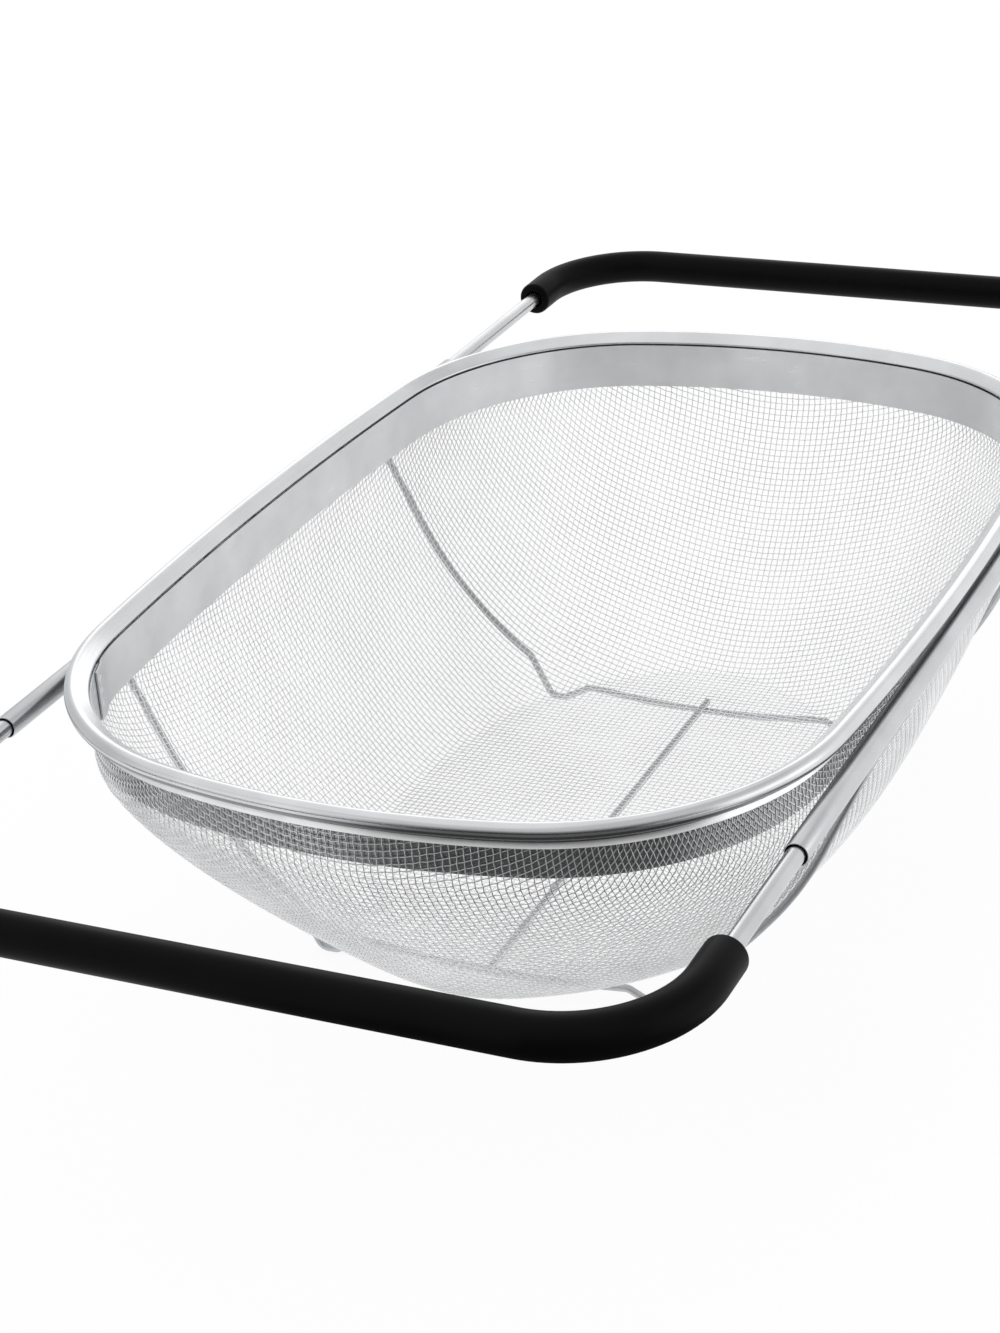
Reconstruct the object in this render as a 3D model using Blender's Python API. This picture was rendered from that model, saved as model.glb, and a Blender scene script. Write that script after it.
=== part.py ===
"""Over-the-sink mesh colander: a deep woven steel basket held in a rolled hoop, two guide tubes under the
hoop, two sliding U-shaped handles with rubber grips, and three base wires with bent feet.

X runs along the basket from the left handle to the right one, Y across it and Z up. The origin is at the
middle of the footprint, on the surface that the feet stand on.
"""
import math

import bpy
import bmesh
import numpy as np
from mathutils import Matrix, Vector

# Outline of the hoop's inner edge: three arcs to a quarter, tangent to each other
RIM_HALF_LENGTH = 0.1712
RIM_HALF_WIDTH = 0.112
END_ARC_RADIUS = 0.224
SIDE_ARC_RADIUS = 1.285
CORNER_ARC_RADIUS = 0.0745
END_STEPS = 3
CORNER_STEPS = 6
SIDE_STEPS = 5

# Clearance between pieces that touch, and between the ends of pieces that meet when they slide
SEAT_GAP = 0.0003
END_GAP = 0.001

# Hoop: one strip that rises from the inner edge, rolls over outwards and comes down as a clamping lip
STRIP_THICKNESS = 0.0005
ROLL_OFFSET = 0.0066
ROLL_RISE = 0.00064
ROLL_RADIUS = 0.00272
ROLL_END_ANGLE = math.radians(-110)
ROLL_STEPS = 9
LIP_SHOULDER = 0.0011
LIP_DEPTH = 0.0068

# Inner band: a strip set back under the inner edge, its ends lapped and welded on the back wall
BAND_SETBACK = 0.001
BAND_DEPTH = 0.0164
SEAM_OUT = 0.12
LAP_LENGTH = 0.006

# Woven basket, as a shell as thick as the weave, hung between the band and the lip. A plain grid of
# openings stands for the weave's fine ones: columns of them round the wall, and squares in the floor
WEAVE_THICKNESS = 0.0008
WEAVE_TOP_DEPTH = 0.001
STRAIGHT_DEPTH = 0.0195
BASKET_DEPTH = 0.098
END_DRAW_IN = 0.064
SIDE_DRAW_IN = 0.043
END_CURVE_POWER = 1.2
SIDE_CURVE_POWER = 1.35
CORNER_DRAW_SHARE = 0.12
CORNER_DRAW_POWER = 2.0
GRID_BAR_WIDTH = 0.003
QUARTER_COLUMNS = 6
WALL_ROWS = 4
ROW_STEPS = 2
WALL_SAMPLES = 400
FLOOR_CELLS_TO_WIRE = 4
CUT_HALF_HEIGHT = 0.001

# Guide tubes, one under the hoop along each long side, with a stop dimple pressed in near each end
TUBE_HALF_LENGTH = 0.1473
TUBE_RADIUS = 0.00335
TUBE_WALL = 0.00035
TUBE_DROP = 0.003
TUBE_SIDES = 16
DIMPLE_DEPTH = 0.0003
DIMPLE_HALF_LENGTH = 0.002

# Sliding handles: how far each is drawn out as it stands, and how far out it can come
LEFT_DRAW = 0.048
RIGHT_DRAW = 0.0745
FULL_DRAW = 0.0915
ROD_RADIUS = 0.0026
ROD_BEND_RADIUS = 0.0345
ROD_BEND_STEPS = 7
ROD_SIDES = 12
ROD_MIDDLE_GAP = 0.003

# Turned-down rod ends: a spigot, the friction bush on it and the peened head that keeps the bush on
SPIGOT_RADIUS = 0.0015
HEAD_RADIUS = 0.0022
HEAD_LENGTH = 0.001
BUSH_RADIUS = 0.0028
BUSH_LENGTH = 0.008

# Rubber grips: a thick sleeve over the bar, both bends and a short way down each leg
GRIP_RADIUS = 0.006
GRIP_LEG_RUN = 0.0125
GRIP_EDGE_ROUND = 0.0011
GRIP_SIDES = 12

# Base wires: a cross wire under each half of the basket, and one along the middle that lies on both
WIRE_RADIUS = 0.00125
WIRE_SIDES = 8
WIRE_BEND_RADIUS = 0.003
WIRE_BEND_STEP = math.radians(20)
CROSS_WIRE_OUT = 0.088
CROSS_WIRE_RISE = 0.0024
BOW_RISE_SHARE = 0.25
LONG_WIRE_STUB = 0.004
LEG_STAND_OFF = 0.0026
LEG_MEETS_WALL_SHARE = 0.42
LEG_APPROACH_POWER = 1.6
LEG_TOP_DEPTH = 0.04
FOOT_OUT = 0.056
FOOT_FLAT = 0.005
FOOT_TO_SHOULDER = 0.0125
FOOT_TO_LEG_RISE = 0.015
TUBE_RUN = 0.033
LEG_STEPS = 16
SHARP_ANGLE = math.radians(35)

# Offsets outwards from the hoop's inner edge, each piece seated against the one inside it
BAND_OUTSIDE = BAND_SETBACK + STRIP_THICKNESS
WEAVE_MIDDLE = BAND_OUTSIDE + SEAT_GAP + WEAVE_THICKNESS / 2
LIP_INSIDE = WEAVE_MIDDLE + WEAVE_THICKNESS / 2 + SEAT_GAP
LIP_OUTSIDE = LIP_INSIDE + STRIP_THICKNESS
TUBE_OUT = RIM_HALF_WIDTH + LIP_OUTSIDE + SEAT_GAP + TUBE_RADIUS

# Heights above the ground, stacked up from the flats under the feet
WIRE_TOUCH = WEAVE_THICKNESS / 2 + SEAT_GAP + WIRE_RADIUS
FOOT_Z = WIRE_RADIUS * math.cos(math.pi / WIRE_SIDES)
CROSS_WIRE_Z = FOOT_Z + CROSS_WIRE_RISE
LONG_WIRE_Z = CROSS_WIRE_Z + 2 * WIRE_RADIUS + SEAT_GAP
FLOOR_Z = LONG_WIRE_Z + WIRE_TOUCH
RIM_Z = FLOOR_Z + BASKET_DEPTH
WALL_TOP_Z = RIM_Z - STRAIGHT_DEPTH
ROLL_UNDERSIDE_Z = RIM_Z + ROLL_RISE - ROLL_RADIUS
TUBE_Z = ROLL_UNDERSIDE_Z - TUBE_DROP - TUBE_RADIUS
WIRE_RUN_Z = TUBE_Z - TUBE_RADIUS - SEAT_GAP - WIRE_RADIUS

# Handle positions, measured from the hoop's middle to the middle of the bar
GRIP_LEG = ROD_BEND_RADIUS + GRIP_LEG_RUN
BAR_OUT_LEAST = TUBE_HALF_LENGTH + END_GAP + GRIP_LEG
ROD_REACH = BAR_OUT_LEAST - ROD_MIDDLE_GAP
LEFT_BAR_OUT = BAR_OUT_LEAST + LEFT_DRAW
RIGHT_BAR_OUT = BAR_OUT_LEAST + RIGHT_DRAW
BUSH_START = HEAD_LENGTH + SEAT_GAP
SHOULDER_START = BUSH_START + BUSH_LENGTH + SEAT_GAP
DIMPLE_OUT = ROD_MIDDLE_GAP + FULL_DRAW + SHOULDER_START + DIMPLE_HALF_LENGTH

# The origin is at the middle of the whole length, so the hoop's middle lies to one side of it
RIM_X = (LEFT_BAR_OUT - RIGHT_BAR_OUT) / 2


def clear_scene():
    for item in list(bpy.data.objects):
        bpy.data.objects.remove(item, do_unlink=True)


def material(name, colour, metallic, roughness):
    result = bpy.data.materials.new(name)
    result.use_nodes = True
    shader = result.node_tree.nodes["Principled BSDF"]
    shader.inputs["Base Color"].default_value = (*colour, 1.0)
    shader.inputs["Metallic"].default_value = metallic
    shader.inputs["Roughness"].default_value = roughness
    result.diffuse_color = (*colour, 1.0)
    return result


def mesh_object(name, bm, finish, parent=None):
    bmesh.ops.recalc_face_normals(bm, faces=bm.faces)
    mesh = bpy.data.meshes.new(name)
    bm.to_mesh(mesh)
    bm.free()
    mesh.shade_smooth()
    mesh.set_sharp_from_angle(angle=SHARP_ANGLE)
    mesh.materials.append(finish)
    item = bpy.data.objects.new(name, mesh)
    bpy.context.scene.collection.objects.link(item)
    if parent is not None:
        item.parent = parent
        item.matrix_parent_inverse = Matrix.Translation(-parent.location)
    return item


def bridge(bm, rows, wrap=False):
    """Joins each row of points to the next one, all round, and the last row to the first one if asked."""
    following = rows[1:] + rows[:1] if wrap else rows[1:]
    for row, after in zip(rows, following):
        for index in range(len(row)):
            step = (index + 1) % len(row)
            bm.faces.new((row[index], row[step], after[step], after[index]))


def strip_caps(bm, rows):
    bm.faces.new(rows[0])
    bm.faces.new(rows[-1])


def sections(bm, points, radii, sides, turned=False):
    """Rings of points square to a path, carried along from its middle, where their first side faces up."""
    count = len(points)
    tangents = []
    for index in range(count):
        before = points[max(index - 1, 0)]
        after = points[min(index + 1, count - 1)]
        tangents.append((after - before).normalized())
    middle = count // 2
    normals = [None] * count
    normals[middle] = Vector((0.0, 0.0, 1.0))
    for index in list(range(middle + 1, count)) + list(range(middle - 1, -1, -1)):
        carried = normals[index - 1] if index > middle else normals[index + 1]
        normals[index] = (carried - tangents[index] * carried.dot(tangents[index])).normalized()
    rows = []
    for point, radius, tangent, normal in zip(points, radii, tangents, normals):
        across = tangent.cross(normal)
        row = []
        for index in range(sides):
            angle = 2 * math.pi * (index + (0.5 if turned else 0.0)) / sides
            row.append(bm.verts.new(point + radius * (math.cos(angle) * normal + math.sin(angle) * across)))
        rows.append(row)
    return rows


def bar_object(name, points, radii, sides, finish, parent=None):
    """A solid bar along a path, with a flat side down."""
    bm = bmesh.new()
    rows = sections(bm, points, radii, sides, turned=True)
    bridge(bm, rows)
    strip_caps(bm, rows)
    return mesh_object(name, bm, finish, parent)


def bent(corners, radius):
    """A path with each corner rounded to the radius, or to what its two sides leave room for."""
    path = [corners[0]]
    for before, corner, after in zip(corners, corners[1:], corners[2:]):
        back = before - corner
        on = after - corner
        turn = math.pi - back.angle(on)
        reach = min(radius * math.tan(turn / 2), back.length / 2, on.length / 2)
        start = corner + back.normalized() * reach
        stop = corner + on.normalized() * reach
        steps = max(1, math.ceil(turn / WIRE_BEND_STEP))
        for step in range(steps + 1):
            share = step / steps
            path.append(start.lerp(corner, share).lerp(corner.lerp(stop, share), share))
        if steps == 1:
            del path[-2:]
            path.append(corner)
    path.append(corners[-1])
    return path


def quarter_arcs():
    """Centre, radius, first and last angle and steps of the end, corner and side arcs of one quarter."""
    end = Vector((RIM_HALF_LENGTH - END_ARC_RADIUS, 0.0))
    side = Vector((0.0, RIM_HALF_WIDTH - SIDE_ARC_RADIUS))
    reach_end = END_ARC_RADIUS - CORNER_ARC_RADIUS
    reach_side = SIDE_ARC_RADIUS - CORNER_ARC_RADIUS
    apart = (side - end).length
    along = (reach_end**2 - reach_side**2 + apart**2) / (2 * apart)
    across = math.sqrt(reach_end**2 - along**2)
    unit = (side - end).normalized()
    foot = end + unit * along
    normal = Vector((-unit.y, unit.x))
    corner = max((foot + normal * across, foot - normal * across), key=lambda point: point.x + point.y)
    first = math.atan2(corner.y - end.y, corner.x - end.x)
    second = math.atan2(corner.y - side.y, corner.x - side.x)
    return (
        (end, END_ARC_RADIUS, 0.0, first, END_STEPS),
        (corner, CORNER_ARC_RADIUS, first, second, CORNER_STEPS),
        (side, SIDE_ARC_RADIUS, second, math.pi / 2, SIDE_STEPS),
    )


def quarter_stations():
    """Points of the hoop's inner edge with outward normals, from the middle of an end to that of a side."""
    stations = []
    for centre, radius, start, stop, steps in quarter_arcs():
        for step in range(steps):
            angle = start + (stop - start) * step / steps
            normal = Vector((math.cos(angle), math.sin(angle)))
            stations.append((centre + normal * radius, normal))
    return stations + [(Vector((0.0, RIM_HALF_WIDTH)), Vector((0.0, 1.0)))]


def carried_round(quarter):
    """Stations once round from the middle of the right end: one quarter's, then its mirror images'."""
    stations = []
    for flip_x, flip_y in ((1, 1), (-1, 1), (-1, -1), (1, -1)):
        flip = Vector((flip_x, flip_y))
        turned = [(point * flip, normal * flip) for point, normal in quarter]
        if flip_x != flip_y:
            turned.reverse()
        stations += turned[:-1]
    return stations


def grid_stations():
    """The hoop's stations with the sides of the upright bars added, and whether each step lies in a bar."""
    stations = quarter_stations()
    runs = [0.0]
    for (before, _), (after, _) in zip(stations, stations[1:]):
        runs.append(runs[-1] + (after - before).length)
    column = runs[-1] / QUARTER_COLUMNS
    sides = [column * number + GRID_BAR_WIDTH / 2 for number in range(QUARTER_COLUMNS)]
    sides += [column * (number + 1) - GRID_BAR_WIDTH / 2 for number in range(QUARTER_COLUMNS)]
    places = sorted(runs + sides)
    quarter = []
    for place in places:
        index = min(max(int(np.searchsorted(runs, place)), 1), len(runs) - 1)
        share = (place - runs[index - 1]) / (runs[index] - runs[index - 1])
        quarter.append(tuple(a.lerp(b, share) for a, b in zip(stations[index - 1], stations[index])))
    middles = [(before + after) / 2 for before, after in zip(places, places[1:])]
    bars = [abs(middle - column * round(middle / column)) < GRID_BAR_WIDTH / 2 for middle in middles]
    return carried_round(quarter), (bars + bars[::-1]) * 2


OUTLINE = carried_round(quarter_stations())
GRID_OUTLINE, GRID_BARS = grid_stations()


def profile_row(bm, point, normal, profile):
    """One section of a hoop: the profile gives offsets outwards and heights above the hoop's inner edge."""
    row = []
    for offset, height in profile:
        edge = point + normal * offset
        row.append(bm.verts.new((RIM_X + edge.x, edge.y, RIM_Z + height)))
    return row


def strip_profile(path):
    """Closes a strip's outer line into a section, with a second line one thickness inside it."""
    inner = []
    for index, point in enumerate(path):
        arriving = (point - path[index - 1]).normalized() if index > 0 else (path[1] - point).normalized()
        leaving = (path[index + 1] - point).normalized() if index < len(path) - 1 else arriving
        mean = (arriving + leaving).normalized()
        inward = Vector((mean.y, -mean.x))
        square = inward.dot(Vector((arriving.y, -arriving.x)))
        inner.append(point + inward * STRIP_THICKNESS / square)
    return [tuple(point) for point in path + inner[::-1]]


def make_rim_hoop(finish):
    roll = Vector((ROLL_OFFSET, ROLL_RISE))
    towards_edge = math.pi + math.atan2(roll.y, roll.x)
    start = towards_edge - math.acos(ROLL_RADIUS / roll.length)
    path = [Vector((0.0, 0.0))]
    for step in range(ROLL_STEPS + 1):
        angle = start + (ROLL_END_ANGLE - start) * step / ROLL_STEPS
        path.append(roll + ROLL_RADIUS * Vector((math.cos(angle), math.sin(angle))))
    path.append(Vector((LIP_OUTSIDE, path[-1].y - LIP_SHOULDER)))
    path.append(Vector((LIP_OUTSIDE, -LIP_DEPTH)))
    profile = strip_profile(path)
    bm = bmesh.new()
    bridge(bm, [profile_row(bm, point, normal, profile) for point, normal in OUTLINE], wrap=True)
    return mesh_object("rim_hoop", bm, finish)


def make_inner_band(finish):
    """A flat strip once round the outline, whose last stretch laps inside its first one at the seam."""
    seam_place = Vector((-SEAM_OUT, RIM_HALF_WIDTH))
    seam = min(range(len(OUTLINE)), key=lambda index: (OUTLINE[index][0] - seam_place).length)
    stations = [(*OUTLINE[(seam + step) % len(OUTLINE)], 0.0) for step in range(len(OUTLINE))]
    inset = STRIP_THICKNESS + SEAT_GAP
    first, normal = OUTLINE[seam]
    onwards = (OUTLINE[(seam + 1) % len(OUTLINE)][0] - first).normalized()
    stations.append((first, normal, inset))
    stations.append((first + onwards * LAP_LENGTH, normal, inset))
    top = -(STRIP_THICKNESS + SEAT_GAP)
    bm = bmesh.new()
    rows = []
    for point, normal, drawn_in in stations:
        inside = BAND_SETBACK - drawn_in
        outside = BAND_OUTSIDE - drawn_in
        profile = ((inside, top), (outside, top), (outside, -BAND_DEPTH), (inside, -BAND_DEPTH))
        rows.append(profile_row(bm, point, normal, profile))
    bridge(bm, rows)
    strip_caps(bm, rows)
    return mesh_object("inner_band", bm, finish)


def drawn_share(share, power):
    """How much of its draw-in a wall has made at a share of its height below the straight top."""
    return 1.0 - max(1.0 - share**power, 0.0) ** (1.0 / power)


def basket_ring(share):
    """The middle of the weave at a share of the curved wall's height, 0 at its top and 1 at the floor."""
    end_drawn = drawn_share(share, END_CURVE_POWER)
    side_drawn = drawn_share(share, SIDE_CURVE_POWER)
    length_scale = 1.0 - end_drawn * END_DRAW_IN / RIM_HALF_LENGTH
    width_scale = 1.0 - side_drawn * SIDE_DRAW_IN / RIM_HALF_WIDTH
    height = WALL_TOP_Z + (FLOOR_Z - WALL_TOP_Z) * share
    ring = []
    for point, normal in GRID_OUTLINE:
        edge = point + normal * WEAVE_MIDDLE
        along = edge.x / RIM_HALF_LENGTH
        across = edge.y / RIM_HALF_WIDTH
        diagonal = 2 * abs(along * across) / (along**2 + across**2)
        drawn = CORNER_DRAW_SHARE * (end_drawn + side_drawn) / 2 * diagonal**CORNER_DRAW_POWER
        scale = 1.0 - drawn
        ring.append(Vector((RIM_X + edge.x * length_scale * scale, edge.y * width_scale * scale, height)))
    return ring


def wall_shares():
    """Shares of the wall's height at the top, steps and bottom of each row of openings, and at the floor."""
    shares = np.linspace(0.0, 1.0, WALL_SAMPLES)
    widths = [RIM_HALF_WIDTH - SIDE_DRAW_IN * drawn_share(share, SIDE_CURVE_POWER) for share in shares]
    heights = (WALL_TOP_Z - FLOOR_Z) * shares
    runs = np.concatenate(([0.0], np.cumsum(np.hypot(np.diff(widths), np.diff(heights)))))
    row = runs[-1] / WALL_ROWS
    places = []
    for number in range(WALL_ROWS):
        for step in range(ROW_STEPS + 1):
            places.append(row * number + (row - GRID_BAR_WIDTH) * step / ROW_STEPS)
    return [float(share) for share in np.interp(places + [runs[-1]], runs, shares)]


def make_basket(finish):
    """A shell of upright bars and rings round the openings, over a flat floor with square openings."""
    bm = bmesh.new()
    wall_top = basket_ring(0.0)
    levels = [[Vector((point.x, point.y, RIM_Z - WEAVE_TOP_DEPTH)) for point in wall_top]]
    levels += [basket_ring(share) for share in wall_shares()]
    rows = [[bm.verts.new(point) for point in level] for level in levels]
    for level, (row, below) in enumerate(zip(rows, rows[1:])):
        ring = level % (ROW_STEPS + 1) == 0
        for index, bar in enumerate(GRID_BARS):
            if ring or bar:
                step = (index + 1) % len(row)
                bm.faces.new((row[index], row[step], below[step], below[index]))
    bm.faces.new(rows[-1])
    unused = [vertex for vertex in bm.verts if not vertex.link_faces]
    bmesh.ops.delete(bm, geom=unused, context="VERTS")
    basket = mesh_object("basket_mesh", bm, finish)
    weave = basket.modifiers.new("weave_thickness", "SOLIDIFY")
    weave.thickness = WEAVE_THICKNESS
    weave.offset = 0.0
    weave.use_even_offset = True
    openings = basket.modifiers.new("floor_openings", "BOOLEAN")
    openings.operation = "DIFFERENCE"
    openings.object = make_floor_cutter(levels[-1])
    return basket


def make_floor_cutter(floor_edge):
    """Cubes on a grid that lines up with the base wires, trimmed to stay a bar's width inside the floor."""
    middle = Vector((RIM_X, 0.0, FLOOR_Z))
    spokes = [point - middle for point in floor_edge]
    inside = [middle + spoke * (1.0 - GRID_BAR_WIDTH / spoke.length) for spoke in spokes]
    cell = CROSS_WIRE_OUT / FLOOR_CELLS_TO_WIRE
    reach_x = math.ceil(max(point.x - RIM_X for point in inside) / cell)
    reach_y = math.ceil(max(point.y for point in inside) / cell)
    squares = bmesh.new()
    for i in range(-reach_x, reach_x):
        for j in range(-reach_y, reach_y):
            centre = Vector((cell * (i + 0.5), cell * (j + 0.5)))
            if is_inside(centre, inside):
                place = Matrix.Translation((RIM_X + centre.x, centre.y, FLOOR_Z))
                bmesh.ops.create_cube(squares, size=cell - GRID_BAR_WIDTH, matrix=place)
    cutter = guide_object("floor_squares", squares)
    disc = bmesh.new()
    rows = []
    for height in (-CUT_HALF_HEIGHT, CUT_HALF_HEIGHT):
        rows.append([disc.verts.new((point.x, point.y, point.z + height)) for point in inside])
    bridge(disc, rows)
    strip_caps(disc, rows)
    trim = cutter.modifiers.new("trim_to_floor", "BOOLEAN")
    trim.operation = "INTERSECT"
    trim.object = guide_object("floor_inside", disc)
    return cutter


def is_inside(place, ring):
    """Whether a place, measured from the hoop's middle, lies nearer to it than the ring does there."""
    direction = math.atan2(place.y, place.x)
    turns = [math.atan2(point.y, point.x - RIM_X) for point in ring]
    reaches = [math.hypot(point.x - RIM_X, point.y) for point in ring]
    return place.length < np.interp(direction, turns, reaches, period=2 * math.pi)


def guide_object(name, bm):
    """A cutter that shapes another piece and isn't a piece itself."""
    bmesh.ops.recalc_face_normals(bm, faces=bm.faces)
    mesh = bpy.data.meshes.new(name)
    bm.to_mesh(mesh)
    bm.free()
    item = bpy.data.objects.new(name, mesh)
    item.hide_render = True
    item.display_type = "WIRE"
    bpy.context.scene.collection.objects.link(item)
    return item


def make_guide_tube(name, side, finish):
    """A thin open tube with two stop dimples, pressed up into it from below."""
    half = [DIMPLE_OUT - DIMPLE_HALF_LENGTH, DIMPLE_OUT, DIMPLE_OUT + DIMPLE_HALF_LENGTH, TUBE_HALF_LENGTH]
    stations = [-out for out in reversed(half)] + half
    line = [Vector((RIM_X + out, side * TUBE_OUT, TUBE_Z)) for out in stations]
    bm = bmesh.new()
    outer = sections(bm, line, [TUBE_RADIUS] * len(line), TUBE_SIDES)
    inner = sections(bm, line, [TUBE_RADIUS - TUBE_WALL] * len(line), TUBE_SIDES)
    for rows in (outer, inner):
        for out, row in zip(stations, rows):
            if abs(out) == DIMPLE_OUT:
                row[TUBE_SIDES // 2].co.z += DIMPLE_DEPTH
    bridge(bm, outer + inner[::-1], wrap=True)
    return mesh_object(name, bm, finish)


def handle_path(hand, bar_out, leg_stations):
    """A handle's centre line: up one leg through the stations, round both bends and back down the other."""
    half = [Vector((out, TUBE_OUT)) for out in leg_stations]
    centre = Vector((bar_out - ROD_BEND_RADIUS, TUBE_OUT - ROD_BEND_RADIUS))
    for step in range(ROD_BEND_STEPS + 1):
        angle = math.pi / 2 * (1 - step / ROD_BEND_STEPS)
        half.append(centre + ROD_BEND_RADIUS * Vector((math.cos(angle), math.sin(angle))))
    there = [Vector((RIM_X + hand * point.x, point.y, TUBE_Z)) for point in half]
    back = [Vector((point.x, -point.y, point.z)) for point in reversed(there)]
    return there + [there[-1].lerp(back[0], 0.5)] + back


def mirrored(values, length):
    """Sizes at the start of a path, the last of them kept up to its middle, and the same backwards."""
    half = values + [values[-1]] * (length // 2 + 1 - len(values))
    return half + half[-2::-1]


def make_handle(side_name, hand, bar_out, finishes):
    slide = bpy.data.objects.new(side_name + "_handle_slide", None)
    slide.empty_display_size = GRIP_RADIUS
    slide.location = (RIM_X + hand * bar_out, 0.0, TUBE_Z)
    bpy.context.scene.collection.objects.link(slide)
    rod_end = bar_out - ROD_REACH
    shoulder = rod_end + SHOULDER_START
    stations = [rod_end, rod_end + HEAD_LENGTH, rod_end + HEAD_LENGTH, shoulder, shoulder]
    path = handle_path(hand, bar_out, stations)
    radii = mirrored([HEAD_RADIUS, HEAD_RADIUS, SPIGOT_RADIUS, SPIGOT_RADIUS, ROD_RADIUS], len(path))
    bar_object(side_name + "_handle_rod", path, radii, ROD_SIDES, finishes["polished"], slide)
    make_grip(side_name, hand, bar_out, finishes["rubber"], slide)
    for end_name, side in (("front", -1), ("back", 1)):
        name = f"{side_name}_{end_name}_rod_bush"
        make_bush(name, hand, side, rod_end + BUSH_START, finishes["plastic"], slide)


def make_grip(side_name, hand, bar_out, finish, slide):
    """A sleeve with a bore for the rod and both ends rounded over."""
    end = bar_out - GRIP_LEG
    path = handle_path(hand, bar_out, [end, end + GRIP_EDGE_ROUND])
    radii = mirrored([GRIP_RADIUS - GRIP_EDGE_ROUND, GRIP_RADIUS], len(path))
    bore = [ROD_RADIUS + SEAT_GAP] * len(path)
    bm = bmesh.new()
    outer = sections(bm, path, radii, GRIP_SIDES, turned=True)
    inner = sections(bm, path, bore, GRIP_SIDES, turned=True)
    bridge(bm, outer + inner[::-1], wrap=True)
    return mesh_object(side_name + "_handle_grip", bm, finish, slide)


def make_bush(name, hand, side, start, finish, slide):
    """A short plastic ring on the spigot at the end of a rod's leg."""
    line = [Vector((RIM_X + hand * out, side * TUBE_OUT, TUBE_Z)) for out in (start, start + BUSH_LENGTH)]
    bm = bmesh.new()
    outer = sections(bm, line, [BUSH_RADIUS] * len(line), TUBE_SIDES)
    inner = sections(bm, line, [SPIGOT_RADIUS + SEAT_GAP] * len(line), TUBE_SIDES)
    bridge(bm, outer + inner[::-1], wrap=True)
    return mesh_object(name, bm, finish, slide)


def wall_in_plane(share):
    """Where the weave crosses a cross wire's plane at a share of the wall's height, and its plan slope."""
    ring = basket_ring(share)
    half = sorted((point.x - RIM_X, point.y) for point in ring if point.y > 0.0)
    places = (CROSS_WIRE_OUT - WIRE_RADIUS, CROSS_WIRE_OUT, CROSS_WIRE_OUT + WIRE_RADIUS)
    inner, y, outer = np.interp(places, [x for x, _ in half], [y for _, y in half])
    return Vector((y, ring[0].z)), (outer - inner) / (2 * WIRE_RADIUS)


def leg_points():
    """A leg from above the foot upwards: it stands off the wall at first and soon lies along it."""
    low = FOOT_Z + FOOT_TO_LEG_RISE
    high = RIM_Z - LEG_TOP_DEPTH
    points = []
    for step in range(LEG_STEPS + 1):
        climbed = step / LEG_STEPS
        height = low + (high - low) * climbed
        share = (WALL_TOP_Z - height) / (WALL_TOP_Z - FLOOR_Z)
        wall, slope = wall_in_plane(share)
        above, _ = wall_in_plane(share - 1 / LEG_STEPS)
        upward = (above - wall).normalized()
        seat = wall.x + WIRE_TOUCH * math.hypot(1.0, slope * upward.y) / upward.y
        off = LEG_STAND_OFF * max(0.0, 1.0 - climbed / LEG_MEETS_WALL_SHARE) ** LEG_APPROACH_POWER
        points.append(Vector((seat + off, height)))
    return points


def make_cross_wire(name, hand, finish):
    """A wire with a low bow under the floor, two feet, two legs round the wall and a run under each tube."""
    middle = Vector((0.0, CROSS_WIRE_Z))
    shoulder = Vector((FOOT_OUT - FOOT_TO_SHOULDER, FLOOR_Z - WIRE_TOUCH))
    bow = Vector((shoulder.x / 2, middle.y + (shoulder.y - middle.y) * BOW_RISE_SHARE))
    half = [middle, bow, shoulder]
    half += [Vector((FOOT_OUT - FOOT_FLAT / 2, FOOT_Z)), Vector((FOOT_OUT + FOOT_FLAT / 2, FOOT_Z))]
    half += leg_points()
    half.append(Vector((TUBE_OUT, WIRE_RUN_Z)))
    corners = [Vector((CROSS_WIRE_OUT, point.x, point.y)) for point in half]
    corners.append(Vector((CROSS_WIRE_OUT - TUBE_RUN, TUBE_OUT, WIRE_RUN_Z)))
    there = [Vector((RIM_X + hand * p.x, p.y, p.z)) for p in bent(corners, WIRE_BEND_RADIUS)]
    back = [Vector((p.x, -p.y, p.z)) for p in reversed(there[1:])]
    path = back + there
    return bar_object(name, path, [WIRE_RADIUS] * len(path), WIRE_SIDES, finish)


def make_long_wire(finish):
    reach = CROSS_WIRE_OUT + WIRE_RADIUS + LONG_WIRE_STUB
    line = [Vector((RIM_X + x, 0.0, LONG_WIRE_Z)) for x in (-reach, 0.0, reach)]
    return bar_object("long_base_wire", line, [WIRE_RADIUS] * len(line), WIRE_SIDES, finish)


def main():
    clear_scene()
    finishes = {
        "polished": material("polished_steel", (0.74, 0.75, 0.76), 1.0, 0.22),
        "satin": material("satin_steel", (0.66, 0.67, 0.68), 1.0, 0.34),
        "woven": material("woven_steel", (0.78, 0.79, 0.80), 1.0, 0.30),
        "wire": material("base_wire_steel", (0.60, 0.61, 0.63), 1.0, 0.35),
        "rubber": material("black_rubber", (0.018, 0.018, 0.020), 0.0, 0.45),
        "plastic": material("bush_plastic", (0.10, 0.10, 0.11), 0.0, 0.5),
    }
    make_rim_hoop(finishes["polished"])
    make_inner_band(finishes["satin"])
    make_basket(finishes["woven"])
    make_guide_tube("front_guide_tube", -1, finishes["satin"])
    make_guide_tube("back_guide_tube", 1, finishes["satin"])
    make_cross_wire("left_base_wire", -1, finishes["wire"])
    make_cross_wire("right_base_wire", 1, finishes["wire"])
    make_long_wire(finishes["wire"])
    make_handle("left", -1, LEFT_BAR_OUT, finishes)
    make_handle("right", 1, RIGHT_BAR_OUT, finishes)


main()
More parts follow.
